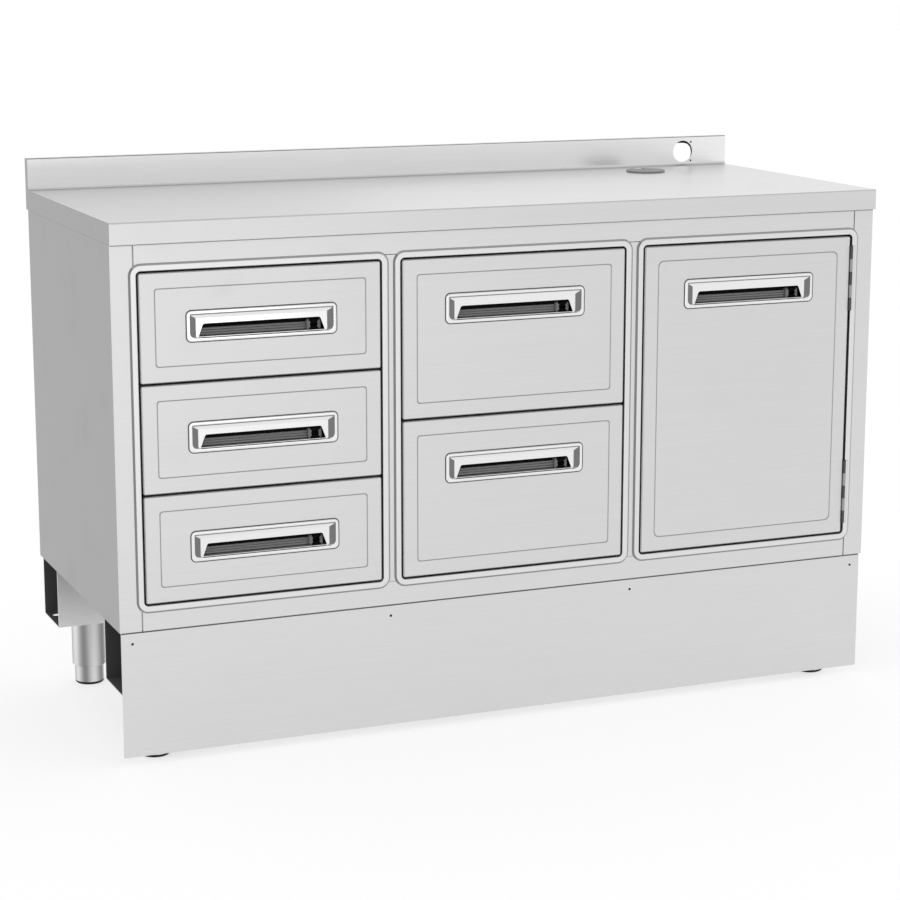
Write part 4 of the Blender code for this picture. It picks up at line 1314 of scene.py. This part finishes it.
@dataclass
class Runners:
    """Posts and fixed rails that carry the drawers."""

    bays: tuple[str, ...] = ("left", "centre")

    def build(self) -> None:
        """Dress the runner frames."""
        for bay in self.bays:
            for side in SIDES:
                dress(f"runner_frame_{bay}_{side}", [SLIDE_STEEL], SLIDE_EDGE)


@dataclass
class Door:
    """Door with its pull and hinges."""

    axis: Span = (0.7015, -0.3067)
    knuckle_radius: float = 0.0033
    leaf_edge: float = 0.0002

    def _leaf(self, node: str, knuckle: Finish) -> None:
        """Dress a hinge leaf, with painted shade on its barrel.

        Args:
            node: Hinge leaf.
            knuckle: Finish of its barrel, a painted shade.
        """

        def pick(centre: Vector, normal: Vector) -> Finish:
            """Tell the faces of the hinge's barrel from those of its leaf."""
            away = math.hypot(centre.x - self.axis[0], centre.y - self.axis[1])
            return knuckle if away < self.knuckle_radius else HINGE_STEEL

        dress(node, [HINGE_STEEL, knuckle], self.leaf_edge, pick)

    def build(self) -> None:
        """Dress the door's pieces."""
        Front("door_panel").build()
        Pull("door_handle").build()
        for hinge in ("hinge_upper", "hinge_lower"):
            self._leaf(f"{hinge}_frame_leaf", KNUCKLE_PAINTED_SHADE)
            self._leaf(f"{hinge}_door_leaf", DOOR_KNUCKLE_PAINTED_SHADE)


@dataclass
class Leg:
    """Tubular leg and the foot that screws out of it."""

    place: str
    edge: float = 0.0004
    wall: float = 0.002
    plate: float = 0.004
    collar: float = 0.020
    chamfer: float = 0.001
    foot_edge: float = 0.0003
    foot_wall: float = 0.002
    groove: float = 0.0006
    sole_inset: float = 0.003
    sole_top: float = 0.0042
    sole_inside: float = 0.006
    sole_rim: float = 0.0004
    sole_shoulder: Span = (0.001, 0.0016)
    # Painted reflections: how many light and dark bands go round the tube, and how far they are turned.
    bands: int = 5
    band_turn: float = 49.0

    def _paint_reflection_bands(self, obj: bpy.types.Object, centre: Span) -> bpy.types.Object:
        """Paint light and dark bands round a tube, as painted reflections.

        Args:
            obj: Turned piece.
            centre: Its axis in X and Y.

        Returns:
            The same piece.
        """
        mesh = obj.data
        band = mesh.attributes.new("painted_light_level", "FLOAT", "CORNER")
        for loop in mesh.loops:
            point = mesh.vertices[loop.vertex_index].co
            angle = math.atan2(point.y - centre[1], point.x - centre[0]) + math.radians(self.band_turn)
            band.data[loop.index].value = 0.5 - 0.5 * math.cos(self.bands * angle)
        return obj

    def _pick(self, centre: Vector, normal: Vector) -> Finish:
        """Tell the foot's rubber sole from its steel."""
        return SOLE_RUBBER if centre.z < self.sole_top + 2 * PICK_MARGIN else LEG_STEEL_PAINTED_REFLECTIONS

    def build(self) -> None:
        """Turn the leg and the foot."""
        low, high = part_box(f"leg_{self.place}")
        foot_low, foot_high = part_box(f"foot_{self.place}")
        centre = ((low.x + high.x) / 2, (low.y + high.y) / 2)
        radius = (high.x - low.x) / 2
        foot = (foot_high.x - foot_low.x) / 2
        tube = [
            (radius - self.wall, high.z - self.plate),
            (radius - self.wall, low.z + self.collar),
            (foot + SEAT_GAP, low.z + self.collar),
            (foot + SEAT_GAP, low.z),
            (radius - self.chamfer, low.z),
            (radius, low.z + self.chamfer),
            (radius, high.z),
        ]
        leg = paint(lathe(f"leg_{self.place}_dressed", centre, tube), [LEG_STEEL_PAINTED_REFLECTIONS])
        stand_for(self._paint_reflection_bands(round_edges(leg, self.edge), centre), f"leg_{self.place}")
        cup = [
            (foot - self.foot_wall, self.sole_inside),
            (foot - self.foot_wall, foot_high.z),
            (foot, foot_high.z),
            (foot, self.sole_top + 2 * self.groove),
            (foot - self.groove, self.sole_top + self.groove),
            (foot - self.groove, self.sole_top),
            (foot - self.sole_rim, self.sole_top - self.groove),
            (foot - self.sole_shoulder[0], self.sole_shoulder[1]),
            (foot - self.sole_inset, 0.0),
        ]
        shoe = paint(lathe(f"foot_{self.place}_dressed", centre, cup), [LEG_STEEL_PAINTED_REFLECTIONS, SOLE_RUBBER], self._pick)
        stand_for(self._paint_reflection_bands(round_edges(shoe, self.foot_edge), centre), f"foot_{self.place}")


@dataclass
class Base:
    """Plinth with its screws, base rails, legs and feet."""

    rail_wall: float = 0.0021
    hem_root: float = 0.003
    hem_height: float = 0.004
    hem_mitre: float = 0.015
    screw_x: tuple[float, ...] = (-0.726, -0.2425, 0.2425, 0.726)
    screw_z: float = 0.224
    edge: float = 0.0005

    def _plinth(self) -> None:
        """Dress the plinth, with the ends of its hem cut to a mitre, and set its screws."""
        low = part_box("plinth")[0]
        obj = copy_solid("plinth")
        for vertex in obj.data.vertices:
            if vertex.co.y > low.y + self.hem_root and vertex.co.z < low.z + self.hem_height:
                vertex.co.x -= math.copysign(self.hem_mitre, vertex.co.x)
        stand_for(round_edges(paint(obj, [BODY_STEEL]), self.edge), "plinth")
        points = [(x, low.y, self.screw_z) for x in self.screw_x]
        screws = SCREWS.spread("plinth_screws", points, SCREW_STEEL, (math.pi / 2, 0.0, 0.0))
        settle(screws, *FIXED_STEEL)

    def _rail(self, node: str, web: Finish) -> None:
        """Dress a base rail, with painted shade inside, its own tone on the front web, and painted shade
        growing towards its upper edge.

        Args:
            node: Base rail.
            web: Finish of its front web, which carries painted shade.
        """
        low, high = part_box(node)
        near = self.rail_wall * 0.5

        def pick(centre: Vector, normal: Vector) -> Finish:
            """Tell the inner faces, painted near black as shade, and the front web from the rest of the
            rail.

            Args:
                centre: Middle of the face.
                normal: Its direction.

            Returns:
                The face's finish.
            """
            inside_y = low.y + near < centre.y < high.y - near
            inside_z = low.z + near < centre.z < high.z - near
            if inside_y and inside_z and abs(normal.x) < FACING:
                return RAIL_SHADE
            return web if centre.y < low.y + near and normal.y < -FACING else BODY_STEEL

        mesh = dress(node, [BODY_STEEL, RAIL_SHADE, web], self.edge, pick).data
        # Painted shade: darker towards the rail's upper edge, under the body; only the rear web's finish
        # uses it.
        band = mesh.attributes.new("painted_light_level", "FLOAT", "CORNER")
        for loop in mesh.loops:
            height = mesh.vertices[loop.vertex_index].co.z
            band.data[loop.index].value = (high.z - height) / (high.z - low.z)

    def build(self) -> None:
        """Dress the base's pieces."""
        self._plinth()
        # The front rail's web, seen in the gap under the body, is grey as painted shade; the rear rail's web
        # is steel with painted shade.
        for end, web in (("front", CHEEK_GREY), ("rear", RAIL_STEEL_PAINTED_SHADE)):
            self._rail(f"base_rail_{end}", web)
            for side in SIDES:
                Leg(f"{end}_{side}").build()


@dataclass(frozen=True)
class Lamp:
    """Soft box of the studio.

    Attributes:
        name: Name of the lamp.
        place: Where it stands.
        aim: What it points at.
        size: Width and height.
        power: Power in watts.
    """

    name: str
    place: Point
    aim: Point
    size: Span
    power: float

    def build(self) -> None:
        """Hang the lamp."""
        light = bpy.data.lights.new(self.name, "AREA")
        light.shape = "RECTANGLE"
        light.size, light.size_y = self.size
        light.energy = self.power
        obj = bpy.data.objects.new(self.name, light)
        obj.location = self.place
        away = Vector(self.aim) - Vector(self.place)
        obj.rotation_euler = away.to_track_quat("-Z", "Y").to_euler()
        obj.visible_camera = False
        bpy.context.scene.collection.objects.link(obj)


@dataclass
class Studio:
    """Pale floor, soft light and the camera."""

    image_side: int = 900
    sensor: float = 36.0
    focal_pixels: float = 2430.0
    camera_place: Point = (-1.7757, -4.286, 1.4242)
    camera_yaw: float = 22.48
    camera_pitch: float = 11.80
    view_depth: float = 200.0
    floor_radius: float = 60.0
    floor_steps: int = 64
    floor_colour: Colour = grey(0.52)
    floor_roughness: float = 0.9
    floor_glow: float = 0.62
    sky_low: float = 1.0
    sky_high: float = 0.70
    sky_turn: float = 0.8
    lamps: tuple[Lamp, ...] = (
        Lamp("key", (-0.1, -4.3, 0.36), (-0.6, -0.3, 0.45), (1.8, 0.68), 4.0),
        Lamp("fill", (2.8, -3.4, 2.4), (0.0, 0.0, 0.6), (2.4, 2.0), 0.6),
        Lamp("top", (2.0, 2.6, 2.6), (0.5, 0.0, 0.95), (2.4, 1.8), 4.0),
    )

    def _camera(self) -> None:
        """Set the camera at the photograph's angle."""
        data = bpy.data.cameras.new("camera")
        data.sensor_width = self.sensor
        data.lens = self.focal_pixels / self.image_side * self.sensor
        data.clip_end = self.view_depth
        obj = bpy.data.objects.new("camera", data)
        obj.location = self.camera_place
        obj.rotation_euler = (math.radians(90 - self.camera_pitch), 0.0, math.radians(-self.camera_yaw))
        bpy.context.scene.collection.objects.link(obj)
        bpy.context.scene.camera = obj

    def _floor(self) -> None:
        """Lay a wide pale floor that looks white and keeps the shadow."""
        bm = bmesh.new()
        bmesh.ops.create_circle(bm, cap_ends=True, segments=self.floor_steps, radius=self.floor_radius)
        floor = link_shape("floor", bm)
        material = bpy.data.materials.new("pale_floor")
        material.use_nodes = True
        tree = NodeTree(material.node_tree)
        path = tree.add("ShaderNodeLightPath").outputs
        seen = tree.math("ADD", path["Is Camera Ray"], path["Is Glossy Ray"])
        seen = tree.math("ADD", seen, path["Is Transmission Ray"], clamp=True)
        tree.fill(material.node_tree.nodes["Principled BSDF"], {
            "Base Color": (*self.floor_colour, 1.0),
            "Roughness": self.floor_roughness,
            "Specular IOR Level": 0.0,
            "Emission Color": WHITE,
            "Emission Strength": tree.math("MULTIPLY", seen, self.floor_glow),
        })
        floor.data.materials.append(material)

    def _sky(self) -> None:
        """Fill the room with even light, lower overhead than at the horizon."""
        world = bpy.data.worlds.new("studio")
        world.use_nodes = True
        bpy.context.scene.world = world
        tree = NodeTree(world.node_tree)
        place = tree.add("ShaderNodeTexCoord")
        split = tree.add("ShaderNodeSeparateXYZ", {0: place.outputs["Generated"]})
        ramp = tree.add("ShaderNodeMapRange", interpolation_type="SMOOTHSTEP")
        tree.fill(ramp, {
            "Value": split.outputs["Z"],
            "From Min": 0.0,
            "From Max": self.sky_turn,
            "To Min": self.sky_low,
            "To Max": self.sky_high,
        })
        background = world.node_tree.nodes["Background"]
        tree.fill(background, {"Color": WHITE, "Strength": ramp.outputs["Result"]})

    def build(self) -> None:
        """Set up the whole studio."""
        bpy.context.scene.view_settings.view_transform = "Standard"
        self._camera()
        self._floor()
        self._sky()
        for lamp in self.lamps:
            lamp.build()


def main() -> None:
    """Build the dressed cabinet and its studio."""
    logging.basicConfig(level=logging.INFO, format="%(message)s")
    Studio().build()
    Worktop().build()
    Carcass().build()
    for bay in ("left", "centre", "right"):
        BayFrame(bay).build()
    for name in ("left_top", "left_middle", "left_bottom", "centre_top", "centre_bottom"):
        Drawer(name).build()
    Runners().build()
    Door().build()
    Base().build()


if __name__ == "__main__":
    main()
